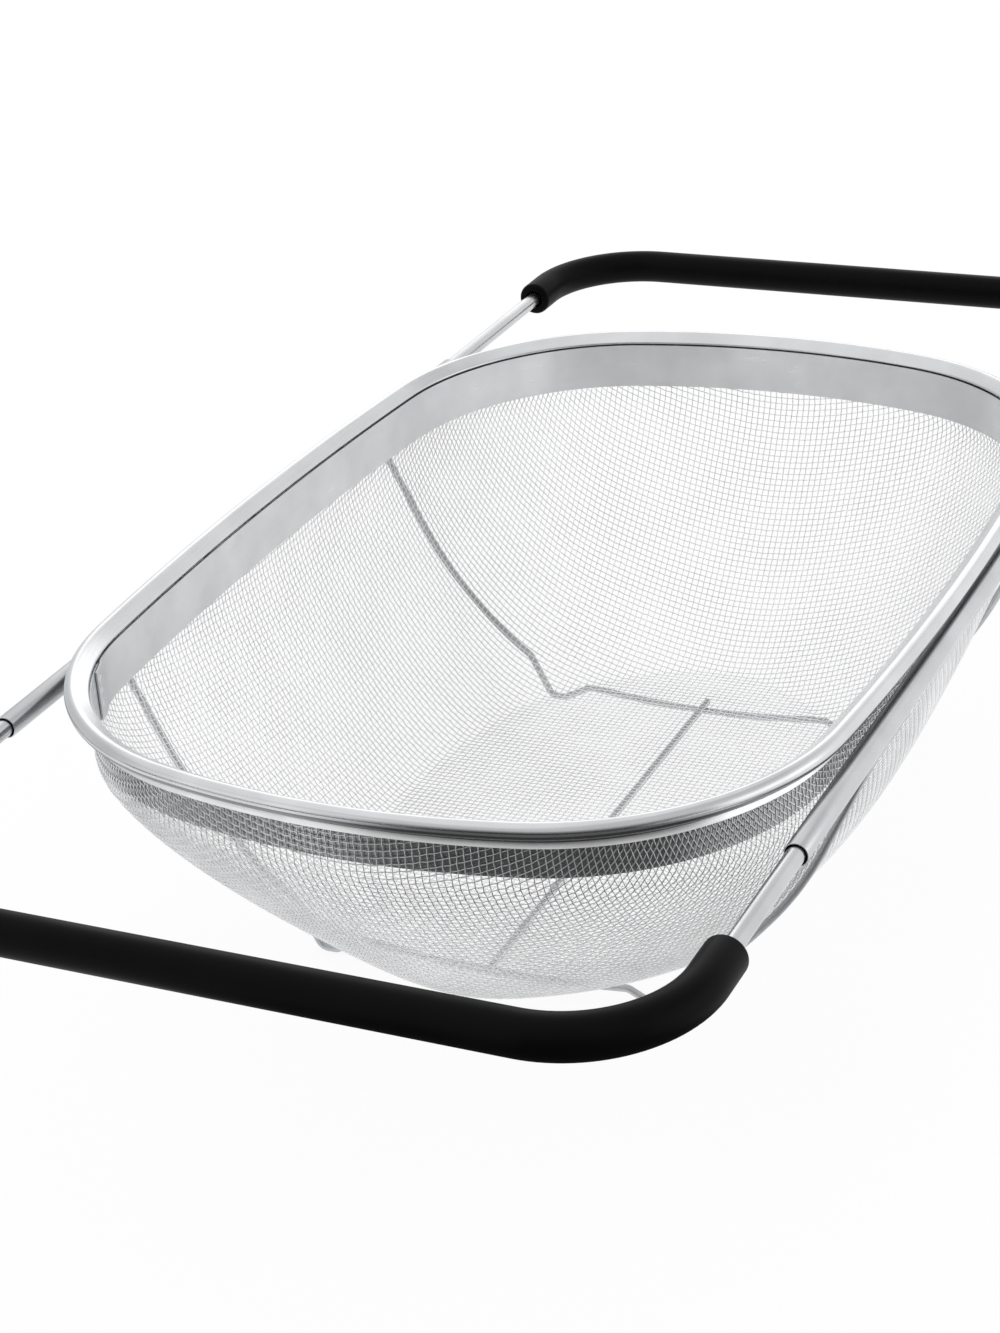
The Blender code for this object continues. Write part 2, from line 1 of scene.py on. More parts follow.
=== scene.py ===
"""Looks of the over-the-sink mesh colander: a basket of real woven wires under a rolled steel hoop, a lapped
band inside it, two guide tubes, base wires with bent feet, and two sliding handles with soft black grips.

Every piece sits where the solid model has it. X runs along the basket, Y across it and Z up, in metres.
"""
import math

import bmesh
import bpy
import numpy as np
from mathutils import Matrix, Vector


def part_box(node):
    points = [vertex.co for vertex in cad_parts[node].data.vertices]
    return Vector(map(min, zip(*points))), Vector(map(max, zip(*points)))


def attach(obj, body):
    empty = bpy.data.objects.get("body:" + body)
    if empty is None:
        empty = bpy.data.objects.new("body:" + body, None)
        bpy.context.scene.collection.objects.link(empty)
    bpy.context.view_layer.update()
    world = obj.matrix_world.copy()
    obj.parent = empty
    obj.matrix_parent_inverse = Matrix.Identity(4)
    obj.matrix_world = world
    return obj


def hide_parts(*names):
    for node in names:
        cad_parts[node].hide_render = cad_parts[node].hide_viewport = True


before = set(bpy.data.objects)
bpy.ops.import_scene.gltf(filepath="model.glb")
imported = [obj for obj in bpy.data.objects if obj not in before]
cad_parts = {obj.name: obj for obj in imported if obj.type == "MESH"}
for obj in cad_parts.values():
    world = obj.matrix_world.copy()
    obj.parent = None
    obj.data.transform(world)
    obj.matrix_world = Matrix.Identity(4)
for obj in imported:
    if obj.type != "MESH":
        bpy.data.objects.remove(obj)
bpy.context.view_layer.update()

# Camera, as fitted to the photograph: where it stands, which way it looks and how it is tilted
CAMERA_PLACE = Vector((-0.76033, -0.34230, 0.47161))
CAMERA_AZIMUTH = math.radians(-63.255)
CAMERA_ELEVATION = math.radians(26.284)
CAMERA_ROLL = math.radians(-4.657)
SENSOR_WIDTH_MM = 36.0
FOCAL_LENGTH_MM = 78.78
CLIP_START = 0.01

# Outline of the hoop's inner edge: three arcs to a quarter, tangent to each other
RIM_HALF_LENGTH = 0.1712
RIM_HALF_WIDTH = 0.112
END_ARC_RADIUS = 0.224
SIDE_ARC_RADIUS = 1.285
CORNER_ARC_RADIUS = 0.0745
END_STEPS = 14
CORNER_STEPS = 26
SIDE_STEPS = 20

# Hoop: a strip with a small rolled inner foot, a sloping flank, a round nose tucked in under, and a flared
# lip. Its looks: polished on the roll; painted light on the lip, a paler steel where the nose's overhang
# shades it; and painted shade, a dark steel, where the strip runs back inwards below and down the throat
# wall.
SEAT_GAP = 0.0003
STRIP_THICKNESS = 0.0005
INNER_FOOT = Vector((0.0023, -0.0002))
INNER_FOOT_RADIUS = 0.0007
INNER_FOOT_START = math.radians(215)
NOSE = Vector((0.0062, 0.0002))
NOSE_RADIUS = 0.0025
NOSE_END = math.radians(-84)
ARC_STEP = math.radians(7)
THROAT_BEND = Vector((0.0043, -0.0030))
THROAT_BEND_RADIUS = 0.0008
UNDERSIDE_SHADE_RUN = -0.1
THROAT_DEPTH = 0.0046
LIP_FLARE = Vector((0.00445, -0.0060))
ROLL_LOOK, LIP_PAINTED_LIGHT_LOOK, UNDER_PAINTED_SHADE_LOOK = range(3)

# Inner band: a strip set back under the inner edge, its ends lapped and spot welded on the back wall. Two
# faces of its section, the top edge and the back, have a darker steel as painted shade.
BAND_SETBACK = 0.001
BAND_DEPTH = 0.0164
BAND_SHADE_FACES = (0, 1)
BAND_SHADE_LOOK = 1
SEAM_OUT = 0.12
LAP_LENGTH = 0.006
SPOT_RADIUS = 0.0013
SPOT_RISE = 0.00025
SPOT_DEPTHS = (0.0045, 0.0085, 0.0125)
SPOT_SIDES = 20
SPOT_RINGS = 12

# Basket: the surface that the middle of the weave follows
WEAVE_THICKNESS = 0.0008
WEAVE_TOP_DEPTH = 0.001
STRAIGHT_DEPTH = 0.0195
END_DRAW_IN = 0.064
SIDE_DRAW_IN = 0.043
END_CURVE_POWER = 1.2
SIDE_CURVE_POWER = 1.35
CORNER_DRAW_SHARE = 0.12
CORNER_DRAW_POWER = 2.0

# Weave: plain square cloth, drawn into the basket's form without stretching its wires
PITCH = 0.0021
MESH_WIRE_RADIUS = 0.00018
MESH_WIRE_SIDES = 4
LEAST_CROSSING_ANGLE = math.radians(38)
WIRE_WANDER = 0.00005
WANDER_SEED = 11

# How a crossing of wires is found, in rows and columns of the surface, and sizes that count as nothing
SEARCH_ROUNDS = 25
NUDGE = 0.05
LOWEST_ROW = 0.5
TOP_MARGIN = 0.01
LONGEST_STEP = 3.0
MISS_SHARE = 0.05
FLAT_FLOOR_SHARE = 0.985
NO_LENGTH = 1e-12
NO_AREA = 1e-18
NO_STEP = 1e-9

# Guide tubes
TUBE_WALL = 0.00035
TUBE_SIDES = 40
MOUTH_ROUND = 0.00016
MOUTH_FIRST_CUT = MOUTH_ROUND / 3
DIMPLE_OUT = 0.1061
DIMPLE_DEPTH = 0.00045
DIMPLE_HALF_LENGTH = 0.0022
DIMPLE_STEPS = 4
DIMPLE_START_SHARE = 0.7

# Handles
ROD_RADIUS = 0.0026
ROD_BEND_RADIUS = 0.0345
ROD_BEND_STEPS = 28
ROD_SIDES = 28
SPIGOT_RADIUS = 0.0015
HEAD_RADIUS = 0.0022
HEAD_LENGTH = 0.001
BUSH_LENGTH = 0.008
GRIP_RADIUS = 0.006
GRIP_BORE_RADIUS = 0.0029
GRIP_EDGE_ROUND = 0.0014
GRIP_EDGE_STEPS = 6
GRIP_SIDES = 48

# Base wires
WIRE_SIDES = 18
CAD_WIRE_RADIUS = 0.00125
CAD_WIRE_SIDES = 8
WIRE_BEND_RADIUS = 0.0036
WIRE_BEND_STEP = math.radians(9)
TIP_STEPS = 4
TIP_LEAST_SHARE = 0.12
CROSS_WIRE_OUT = 0.088
CROSS_WIRE_RISE = 0.0024
BOW_RISE_SHARE = 0.25
LONG_WIRE_STUB = 0.0015
LEG_STAND_OFF = 0.0026
LEG_MEETS_WALL_SHARE = 0.42
LEG_APPROACH_POWER = 1.6
LEG_TOP_DEPTH = 0.04
FOOT_OUT = 0.056
FOOT_FLAT = 0.005
FOOT_TO_SHOULDER = 0.0125
FOOT_TO_LEG_RISE = 0.015
TUBE_RUN = 0.033
LEG_STEPS = 28

# Places taken from the solid model
HOOP_LOW, HOOP_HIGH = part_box("rim_hoop")
WEAVE_LOW, WEAVE_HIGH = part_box("basket_mesh")
TUBE_LOW, TUBE_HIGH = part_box("front_guide_tube")
RIM_X = (HOOP_LOW.x + HOOP_HIGH.x) / 2
RIM_Z = WEAVE_HIGH.z + WEAVE_TOP_DEPTH
FLOOR_Z = WEAVE_LOW.z + WEAVE_THICKNESS / 2
WALL_TOP_Z = RIM_Z - STRAIGHT_DEPTH
TUBE_Z = (TUBE_LOW.z + TUBE_HIGH.z) / 2
TUBE_RADIUS = (TUBE_HIGH.z - TUBE_LOW.z) / 2
TUBE_OUT = -(TUBE_LOW.y + TUBE_HIGH.y) / 2
TUBE_HALF_LENGTH = (TUBE_HIGH.x - TUBE_LOW.x) / 2
BAND_OUTSIDE = BAND_SETBACK + STRIP_THICKNESS
WEAVE_MIDDLE = BAND_OUTSIDE + SEAT_GAP + WEAVE_THICKNESS / 2
WIRE_TOUCH = WEAVE_THICKNESS / 2 + SEAT_GAP + CAD_WIRE_RADIUS
FOOT_Z = CAD_WIRE_RADIUS * math.cos(math.pi / CAD_WIRE_SIDES)
WIRE_RADIUS = FOOT_Z / math.cos(math.pi / WIRE_SIDES)
CROSS_WIRE_Z = FOOT_Z + CROSS_WIRE_RISE
LONG_WIRE_Z = CROSS_WIRE_Z + 2 * CAD_WIRE_RADIUS + SEAT_GAP
WIRE_RUN_Z = TUBE_Z - TUBE_RADIUS - SEAT_GAP - CAD_WIRE_RADIUS

# Finishes. A noise has a scale, a detail and a roughness, and a span is the part of it that is put to use.
SHARP_ANGLE = math.radians(40)
LINE_NOISE = (1.0, 4.0, 0.6)
LINE_SPAN = (0.3, 0.7)
LINE_STRENGTH = 0.35
SMUDGE_NOISE = (45.0, 3.0, 0.55)
SMUDGE_SPAN = (0.35, 0.65)
SMUDGE_TONE_SHARE = 0.90
RUBBER_GRAIN_NOISE = (1500.0, 2.0, 0.55)
RUBBER_GRAIN_STRENGTH = 0.25
RUBBER_GRAIN_DEPTH = 0.00004
RUBBER_PATCH_NOISE = (30.0, 4.0, 0.55)
RUBBER_TONES = ((0.0011, 0.0012, 0.0014), (0.0024, 0.0026, 0.0029))
RUBBER_TONE_SPAN = (0.4, 0.75)
RUBBER_ROUGHNESS = (0.40, 0.52)
RUBBER_ROUGHNESS_SPAN = (0.35, 0.7)
RUBBER_SPECULAR = 0.07
PLASTIC_GRAIN_NOISE = (900.0, 3.0, 0.55)
PLASTIC_TONES = ((0.085, 0.085, 0.095), (0.115, 0.115, 0.125))
PLASTIC_ROUGHNESS = (0.45, 0.6)

# Steels: name, colour, roughness and its unevenness, how close the drawn lines lie along each axis of their
# mapping, how deep they look, and that mapping. UV runs along a strip's length and round its section.
STEELS = {
    "rim": ("rim_steel", (0.74, 0.75, 0.765), 0.22, 0.05, (25.0, 1400.0, 1.0), 0.00003, "UV"),
    # The lip's paler steel is painted light, so it reads lit under the nose's overhang; the steel under the
    # roll is painted shade.
    "lip": ("rim_lip_painted_light_steel", (0.92, 0.925, 0.93), 0.26, 0.05, (40.0, 900.0, 1.0), 0.00003, "UV"),
    "rim painted shade": ("rim_under_painted_shade_steel", (0.27, 0.275, 0.285), 0.24, 0.05, (40.0, 900.0, 1.0), 0.00003, "UV"),
    "band": ("band_steel", (0.80, 0.81, 0.825), 0.32, 0.07, (60.0, 900.0, 1.0), 0.00004, "UV"),
    # The band's darker steel for its top edge and back is painted shade.
    "band painted shade": ("band_painted_shade_steel", (0.43, 0.435, 0.445), 0.24, 0.05, (60.0, 900.0, 1.0), 0.00004, "UV"),
    "woven": ("woven_steel", (0.97, 0.975, 0.985), 0.30, 0.05, (300.0, 300.0, 300.0), 0.00001, "Object"),
    "tube": ("tube_steel", (0.64, 0.65, 0.665), 0.26, 0.05, (18.0, 1500.0, 1500.0), 0.00003, "Object"),
    "rod": ("rod_steel", (0.62, 0.63, 0.645), 0.22, 0.05, (18.0, 1500.0, 1500.0), 0.00003, "Object"),
    "wire": ("wire_steel", (0.60, 0.61, 0.625), 0.50, 0.05, (120.0, 400.0, 400.0), 0.00003, "Object"),
}

# Studio: white for the camera, while metal sees pale walls, a softer back wall and ceiling, and the dark room
# before the camera. A half width gives where a sector ends and, second, within which it is at its full.
WHITE = (1.0, 1.0, 1.0, 1.0)
FLOOR_COLOUR = (0.95, 0.95, 0.95, 1.0)
FLOOR_HALF_SIZE = 6.0
GLOW_SHARE = 0.88
DIFFUSE_LEVEL = 0.95
ROOM_AZIMUTH = math.radians(207)
ROOM_HALF_WIDTH = (math.radians(58), math.radians(40))
ROOM_LEVEL = 0.02
ROOM_TOP = (0.05, 0.55)
SIDE_LEVEL = 1.0
BACK_AZIMUTH = math.radians(84)
BACK_HALF_WIDTH = (math.radians(44), math.radians(20))
BACK_LEVEL = 0.66
OVERHEAD_LEVEL = 0.66
OVERHEAD_RISE = (0.45, 0.75)
FLOOR_ROOM_AZIMUTH = math.radians(199.5)
FLOOR_ROOM_HALF_WIDTH = (math.radians(37), math.radians(25))
FLOOR_ROOM_START = (0.14, 0.19)
FLOOR_ROOM_LEVEL = 0.01

# Lamps: name, place, aim, size and power
LAMPS = (
    ("overhead_softbox", (0.1, 0.5, 1.5), (0.0, 0.0, 0.05), (2.4, 1.8), 3.8),
    ("back_softbox", (1.77, 0.64, 0.78), (0.0, 0.0, 0.1), (1.7, 0.9), 3.0),
    ("front_softbox", (0.17, -1.9, 0.5), (0.0, 0.0, 0.1), (1.7, 0.9), 2.4),
)


def linked(name, data):
    """A new object in the scene."""
    item = bpy.data.objects.new(name, data)
    bpy.context.scene.collection.objects.link(item)
    return item


def placed(name, mesh, finish, body, slot, *nodes):
    """Makes a mesh a piece that rides on a body, and hides the nodes that are named."""
    mesh.materials.append(finish)
    piece = linked(name, mesh)
    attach(piece, body)
    if nodes:
        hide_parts(*nodes)
    return piece


def mesh_piece(name, bm, finish, body, slot, *nodes):
    """Turns a bmesh into a placed piece, smooth but for its sharp edges."""
    bmesh.ops.recalc_face_normals(bm, faces=bm.faces)
    mesh = bpy.data.meshes.new(name)
    bm.to_mesh(mesh)
    bm.free()
    mesh.shade_smooth()
    mesh.set_sharp_from_angle(angle=SHARP_ANGLE)
    return placed(name, mesh, finish, body, slot, *nodes)


def bridge(bm, rows, wrap=False):
    """Joins each ring of points to the next one, and the last ring to the first one if asked."""
    following = rows[1:] + rows[:1] if wrap else rows[1:]
    faces = []
    for row, after in zip(rows, following):
        for index in range(len(row)):
            step = (index + 1) % len(row)
            faces.append(bm.faces.new((row[index], row[step], after[step], after[index])))
    return faces


# Materials


class Nodes:
    """A small helper that adds nodes to a tree and links them by socket names."""

    # Where a mix of numbers or of colours has its two inputs and its output
    MIX_SOCKETS = {"FLOAT": (2, 3, 0), "RGBA": (6, 7, 2)}

    def __init__(self, tree):
        self.tree = tree

    def link(self, value, socket):
        """Links an output to a socket, or sets the socket to a plain value."""
        if isinstance(value, bpy.types.NodeSocket):
            self.tree.links.new(value, socket)
        else:
            socket.default_value = value

    def feed(self, node, **values):
        for key, value in values.items():
            self.link(value, node.inputs[key.replace("_", " ")])

    def add(self, kind, settings=None, **values):
        node = self.tree.nodes.new(kind)
        for key, value in (settings or {}).items():
            setattr(node, key, value)
        self.feed(node, **values)
        return node

    def place(self, mapping):
        return self.add("ShaderNodeTexCoord").outputs[mapping]

    def spread(self, value, low, high, start=0.0, stop=1.0):
        """Maps a value that runs from start to stop onto low to high."""
        ends = {"From_Min": start, "From_Max": stop, "To_Min": low, "To_Max": high}
        return self.add("ShaderNodeMapRange", Value=value, **ends).outputs["Result"]

    def noise(self, place, scale, detail, roughness):
        node = self.add("ShaderNodeTexNoise", Vector=place, Scale=scale, Detail=detail, Roughness=roughness)
        return node.outputs["Fac"]

    def stretched(self, place, scales):
        return self.add("ShaderNodeMapping", Vector=place, Scale=scales).outputs["Vector"]

    def bump(self, height, strength, depth):
        node = self.add("ShaderNodeBump", Strength=strength, Distance=depth, Height=height)
        return node.outputs["Normal"]

    def blend(self, share, first, second, kind="FLOAT"):
        """Between two numbers, or two colours, each of them a socket or a plain value."""
        node = self.add("ShaderNodeMix", {"data_type": kind}, Factor=share)
        first_input, second_input, output = self.MIX_SOCKETS[kind]
        self.link(first, node.inputs[first_input])
        self.link(second, node.inputs[second_input])
        return node.outputs[output]

    def tone(self, share, first, second):
        return self.blend(share, (*first, 1.0), (*second, 1.0), "RGBA")

    def math(self, operation, first, second):
        node = self.add("ShaderNodeMath", {"operation": operation})
        self.link(first, node.inputs[0])
        self.link(second, node.inputs[1])
        return node.outputs[0]

    def vector_math(self, operation, first, second=None, output="Vector"):
        node = self.add("ShaderNodeVectorMath", {"operation": operation})
        self.link(first, node.inputs[0])
        if second is not None:
            self.link(second, node.inputs[1])
        return node.outputs[output]


def new_material(name):
    material = bpy.data.materials.new(name)
    material.use_nodes = True
    tree = material.node_tree
    return material, Nodes(tree), tree.nodes["Principled BSDF"]


def steel(name, colour, roughness, unevenness, closeness, line_depth, mapping):
    """Stainless steel with fine drawn lines, soft smudges and a little unevenness in its tone."""
    material, nodes, shader = new_material(name)
    lines = nodes.noise(nodes.stretched(nodes.place(mapping), closeness), *LINE_NOISE)
    smudges = nodes.noise(nodes.place("Object"), *SMUDGE_NOISE)
    darker = tuple(channel * SMUDGE_TONE_SHARE for channel in colour)
    tone = nodes.tone(nodes.spread(smudges, 0.0, 1.0, *SMUDGE_SPAN), colour, darker)
    broad = nodes.spread(smudges, roughness, roughness + unevenness, *SMUDGE_SPAN)
    fine = nodes.spread(lines, -unevenness, unevenness, *LINE_SPAN)
    normal = nodes.bump(lines, LINE_STRENGTH, line_depth)
    nodes.feed(shader, Base_Color=tone, Roughness=nodes.math("ADD", broad, fine), Normal=normal, Metallic=1.0)
    return material


def rubber(name):
    """Soft black rubber with a fine grain, and faint dull patches where hands rub it."""
    material, nodes, shader = new_material(name)
    place = nodes.place("Object")
    patches = nodes.noise(place, *RUBBER_PATCH_NOISE)
    tone = nodes.tone(nodes.spread(patches, 0.0, 1.0, *RUBBER_TONE_SPAN), *RUBBER_TONES)
    roughness = nodes.spread(patches, *RUBBER_ROUGHNESS, *RUBBER_ROUGHNESS_SPAN)
    normal = nodes.bump(nodes.noise(place, *RUBBER_GRAIN_NOISE), RUBBER_GRAIN_STRENGTH, RUBBER_GRAIN_DEPTH)
    nodes.feed(shader, Base_Color=tone, Roughness=roughness, Normal=normal)
    nodes.feed(shader, Specular_IOR_Level=RUBBER_SPECULAR)
    return material


def plastic(name):
    """Grey moulded plastic with a fine grain."""
    material, nodes, shader = new_material(name)
    grain = nodes.noise(nodes.place("Object"), *PLASTIC_GRAIN_NOISE)
    tone = nodes.tone(grain, *PLASTIC_TONES)
    nodes.feed(shader, Base_Color=tone, Roughness=nodes.spread(grain, *PLASTIC_ROUGHNESS))
    return material


def make_finishes():
    finishes = {look: steel(*values) for look, values in STEELS.items()}
    finishes["rubber"] = rubber("grip_rubber")
    finishes["plastic"] = plastic("bush_plastic")
    return finishes


# Hoop and band


def quarter_arcs():
    """Centre, radius, first and last angle and steps of the end, corner and side arcs of one quarter."""
    end = Vector((RIM_HALF_LENGTH - END_ARC_RADIUS, 0.0))
    side = Vector((0.0, RIM_HALF_WIDTH - SIDE_ARC_RADIUS))
    reach_end = END_ARC_RADIUS - CORNER_ARC_RADIUS
    reach_side = SIDE_ARC_RADIUS - CORNER_ARC_RADIUS
    apart = (side - end).length
    along = (reach_end**2 - reach_side**2 + apart**2) / (2 * apart)
    across = math.sqrt(reach_end**2 - along**2)
    unit = (side - end).normalized()
    foot = end + unit * along
    normal = Vector((-unit.y, unit.x))
    corner = max((foot + normal * across, foot - normal * across), key=lambda point: point.x + point.y)
    first = math.atan2(corner.y - end.y, corner.x - end.x)
    second = math.atan2(corner.y - side.y, corner.x - side.x)
    return (
        (end, END_ARC_RADIUS, 0.0, first, END_STEPS),
        (corner, CORNER_ARC_RADIUS, first, second, CORNER_STEPS),
        (side, SIDE_ARC_RADIUS, second, math.pi / 2, SIDE_STEPS),
    )


def quarter_outline():
    """Points and outward normals of the hoop's inner edge, from an end's middle to a side's middle."""
    quarter = []
    for centre, radius, start, stop, steps in quarter_arcs():
        for step in range(steps):
            angle = start + (stop - start) * step / steps
            normal = Vector((math.cos(angle), math.sin(angle)))
            quarter.append((centre + normal * radius, normal))
    quarter.append((Vector((0.0, RIM_HALF_WIDTH)), Vector((0.0, 1.0))))
    return quarter


QUARTER = quarter_outline()


def hoop_outline():
    """The quarter's points and normals mirrored all the way round the hoop."""
    points = []
    for flip_x, flip_y in ((1, 1), (-1, 1), (-1, -1), (1, -1)):
        flip = Vector((flip_x, flip_y))
        turned = [(point * flip, normal * flip) for point, normal in QUARTER]
        if flip_x != flip_y:
            turned.reverse()
        points += turned[:-1]
    return points


OUTLINE = hoop_outline()


def lengths_along(points):
    """Running length of a line of points from its first one."""
    total = [0.0]
    for before, after in zip(points, points[1:]):
        total.append(total[-1] + (after - before).length)
    return total


def profile_row(bm, point, normal, profile):
    """One section of a hoop: the profile gives offsets outwards and heights above the hoop's inner edge."""
    row = []
    for offset, height in profile:
        place = (RIM_X + point.x + normal.x * offset, point.y + normal.y * offset, RIM_Z + height)
        row.append(bm.verts.new(place))
    return row


def strip_profile(path):
    """Closes a strip's outer line into a section, with a second line one thickness inside it."""
    inner = []
    for index, point in enumerate(path):
        arriving = (point - path[index - 1]).normalized() if index > 0 else (path[1] - point).normalized()
        leaving = (path[index + 1] - point).normalized() if index < len(path) - 1 else arriving
        mean = (arriving + leaving).normalized()
        inward = Vector((mean.y, -mean.x))
        square = inward.dot(Vector((arriving.y, -arriving.x)))
        inner.append(point + inward * STRIP_THICKNESS / square)
    return [tuple(point) for point in path + inner[::-1]]


def lay_lengths(bm, rows, stations, profile, wrap):
    """A UV map whose U runs along the hoop and V round its section, both in metres."""
    layer = bm.loops.layers.uv.new("lengths")
    run = lengths_along(stations + stations[:1])
    depth = lengths_along([Vector(point) for point in profile] + [Vector(profile[0])])
    faces = bridge(bm, rows, wrap)
    for number, face in enumerate(faces):
        station, index = divmod(number, len(profile))
        for loop, (u, v) in zip(face.loops, ((0, 0), (0, 1), (1, 1), (1, 0))):
            loop[layer].uv = (run[station + u], depth[index + v])
    return faces


def arc(centre, radius, start, stop):
    """Points along an arc of a section, from one angle to another."""
    steps = math.ceil(abs(stop - start) / ARC_STEP)
    angles = [start + (stop - start) * step / steps for step in range(steps + 1)]
    return [centre + radius * Vector((math.cos(angle), math.sin(angle))) for angle in angles]


def rim_path():
    """The hoop's outer line: round its inner foot, up the flank, over the nose, in to the throat and out."""
    apart = NOSE - INNER_FOOT
    flank = math.atan2(apart.y, apart.x) + math.acos((INNER_FOOT_RADIUS - NOSE_RADIUS) / apart.length)
    path = arc(INNER_FOOT, INNER_FOOT_RADIUS, INNER_FOOT_START, flank)
    path += arc(NOSE, NOSE_RADIUS, flank, NOSE_END)
    path += arc(THROAT_BEND, THROAT_BEND_RADIUS, math.pi / 2, math.pi)
    path.append(Vector((path[-1].x, -THROAT_DEPTH)))
    path.append(LIP_FLARE)
    return path


def make_rim_hoop(finish, lip_painted_light_finish, under_painted_shade_finish):
    """The hoop, with painted light on its flared lip, a paler steel, and painted shade, a dark steel, under
    the roll and on the throat.
    """
    path = rim_path()
    profile = strip_profile(path)
    # Painted light and shade: the lip's faces get the paler steel, and the faces under the roll and the
    # throat wall get the dark one.
    looks = [ROLL_LOOK] * len(profile)
    for index, (before, after) in enumerate(zip(path, path[1:-2])):
        if (after - before).normalized().x < UNDERSIDE_SHADE_RUN:
            looks[index] = UNDER_PAINTED_SHADE_LOOK
    throat, flare, edge = range(len(path) - 3, len(path))
    looks[throat] = UNDER_PAINTED_SHADE_LOOK
    looks[flare] = looks[edge] = LIP_PAINTED_LIGHT_LOOK
    bm = bmesh.new()
    rows = [profile_row(bm, point, normal, profile) for point, normal in OUTLINE]
    faces = lay_lengths(bm, rows, [point for point, _ in OUTLINE], profile, wrap=True)
    for number, face in enumerate(faces):
        face.material_index = looks[number % len(profile)]
    piece = mesh_piece("rolled_rim", bm, finish, "basket", "rim_steel", "rim_hoop")
    piece.data.materials.append(lip_painted_light_finish)
    piece.data.materials.append(under_painted_shade_finish)


def make_inner_band(finish, painted_shade_finish):
    """A flat strip once round the outline, its last stretch lapped inside its first, with painted shade, a
    darker steel, on its top edge and back.
    """
    seam_place = Vector((-SEAM_OUT, RIM_HALF_WIDTH))
    seam = min(range(len(OUTLINE)), key=lambda index: (OUTLINE[index][0] - seam_place).length)
    stations = [(*OUTLINE[(seam + step) % len(OUTLINE)], 0.0) for step in range(len(OUTLINE))]
    inset = STRIP_THICKNESS + SEAT_GAP
    first, normal = OUTLINE[seam]
    onwards = (OUTLINE[(seam + 1) % len(OUTLINE)][0] - first).normalized()
    stations.append((first, normal, inset))
    stations.append((first + onwards * LAP_LENGTH, normal, inset))
    top = -(STRIP_THICKNESS + SEAT_GAP)
    bm = bmesh.new()
    rows = []
    for point, outwards, drawn_in in stations:
        inside = BAND_SETBACK - drawn_in
        outside = BAND_OUTSIDE - drawn_in
        profile = ((inside, top), (outside, top), (outside, -BAND_DEPTH), (inside, -BAND_DEPTH))
        rows.append(profile_row(bm, point, outwards, profile))
    faces = lay_lengths(bm, rows, [point for point, _, _ in stations], profile, wrap=False)
    # Painted shade: the top edge and the back get the darker steel.
    for number, face in enumerate(faces):
        if number % len(profile) in BAND_SHADE_FACES:
            face.material_index = BAND_SHADE_LOOK
    bm.faces.new(rows[0])
    bm.faces.new(rows[-1])
    piece = mesh_piece("inner_band_strip", bm, finish, "basket", "band_steel", "inner_band")
    piece.data.materials.append(painted_shade_finish)
    lap = first + onwards * LAP_LENGTH / 2
    place = lap + normal * (BAND_SETBACK - inset)
    for number, depth in enumerate(SPOT_DEPTHS, 1):
        centre = Vector((RIM_X + place.x, place.y, RIM_Z - depth))
        make_spot_weld(f"seam_spot_weld_{number}", centre, Vector((*normal, 0.0)), finish)


def make_spot_weld(name, centre, axis, finish):
    """A low round weld mark: a flattened dome of metal that sits on the band."""
    bm = bmesh.new()
    bmesh.ops.create_uvsphere(bm, u_segments=SPOT_SIDES, v_segments=SPOT_RINGS, radius=1.0)
    turn = axis.to_track_quat("Z", "Y").to_matrix().to_4x4()
    size = Matrix.Diagonal((SPOT_RADIUS, SPOT_RADIUS, SPOT_RISE, 1.0))
    bmesh.ops.transform(bm, matrix=Matrix.Translation(centre) @ turn @ size, verts=bm.verts)
    mesh_piece(name, bm, finish, "basket", "band_steel")


# Basket surface


def drawn_share(share, power):
    """How much of its draw-in a wall has made at a share of its height below the straight top."""
    return 1.0 - max(1.0 - share**power, 0.0) ** (1.0 / power)


def wall_ring(edge, share):
    """The weave's middle round one quarter, at a share of the curved wall's height, 0 at its top."""
    end_drawn = drawn_share(share, END_CURVE_POWER)
    side_drawn = drawn_share(share, SIDE_CURVE_POWER)
    along = edge[:, 0] / RIM_HALF_LENGTH
    across = edge[:, 1] / RIM_HALF_WIDTH
    diagonal = 2 * along * across / (along**2 + across**2)
    scale = 1.0 - CORNER_DRAW_SHARE * (end_drawn + side_drawn) / 2 * diagonal**CORNER_DRAW_POWER
    x = edge[:, 0] * (1.0 - end_drawn * END_DRAW_IN / RIM_HALF_LENGTH) * scale
    y = edge[:, 1] * (1.0 - side_drawn * SIDE_DRAW_IN / RIM_HALF_WIDTH) * scale
    height = WALL_TOP_Z + (FLOOR_Z - WALL_TOP_Z) * share
    return np.column_stack((x, y, np.full(len(edge), height)))


def quarter_edge(count):
    """The weave's middle at the straight top of one quarter, at even steps along it."""
    line = [point + normal * WEAVE_MIDDLE for point, normal in QUARTER]
    run = lengths_along(line)
    even = np.linspace(0.0, run[-1], count)
    return np.column_stack([np.interp(even, run, [point[axis] for point in line]) for axis in (0, 1)])


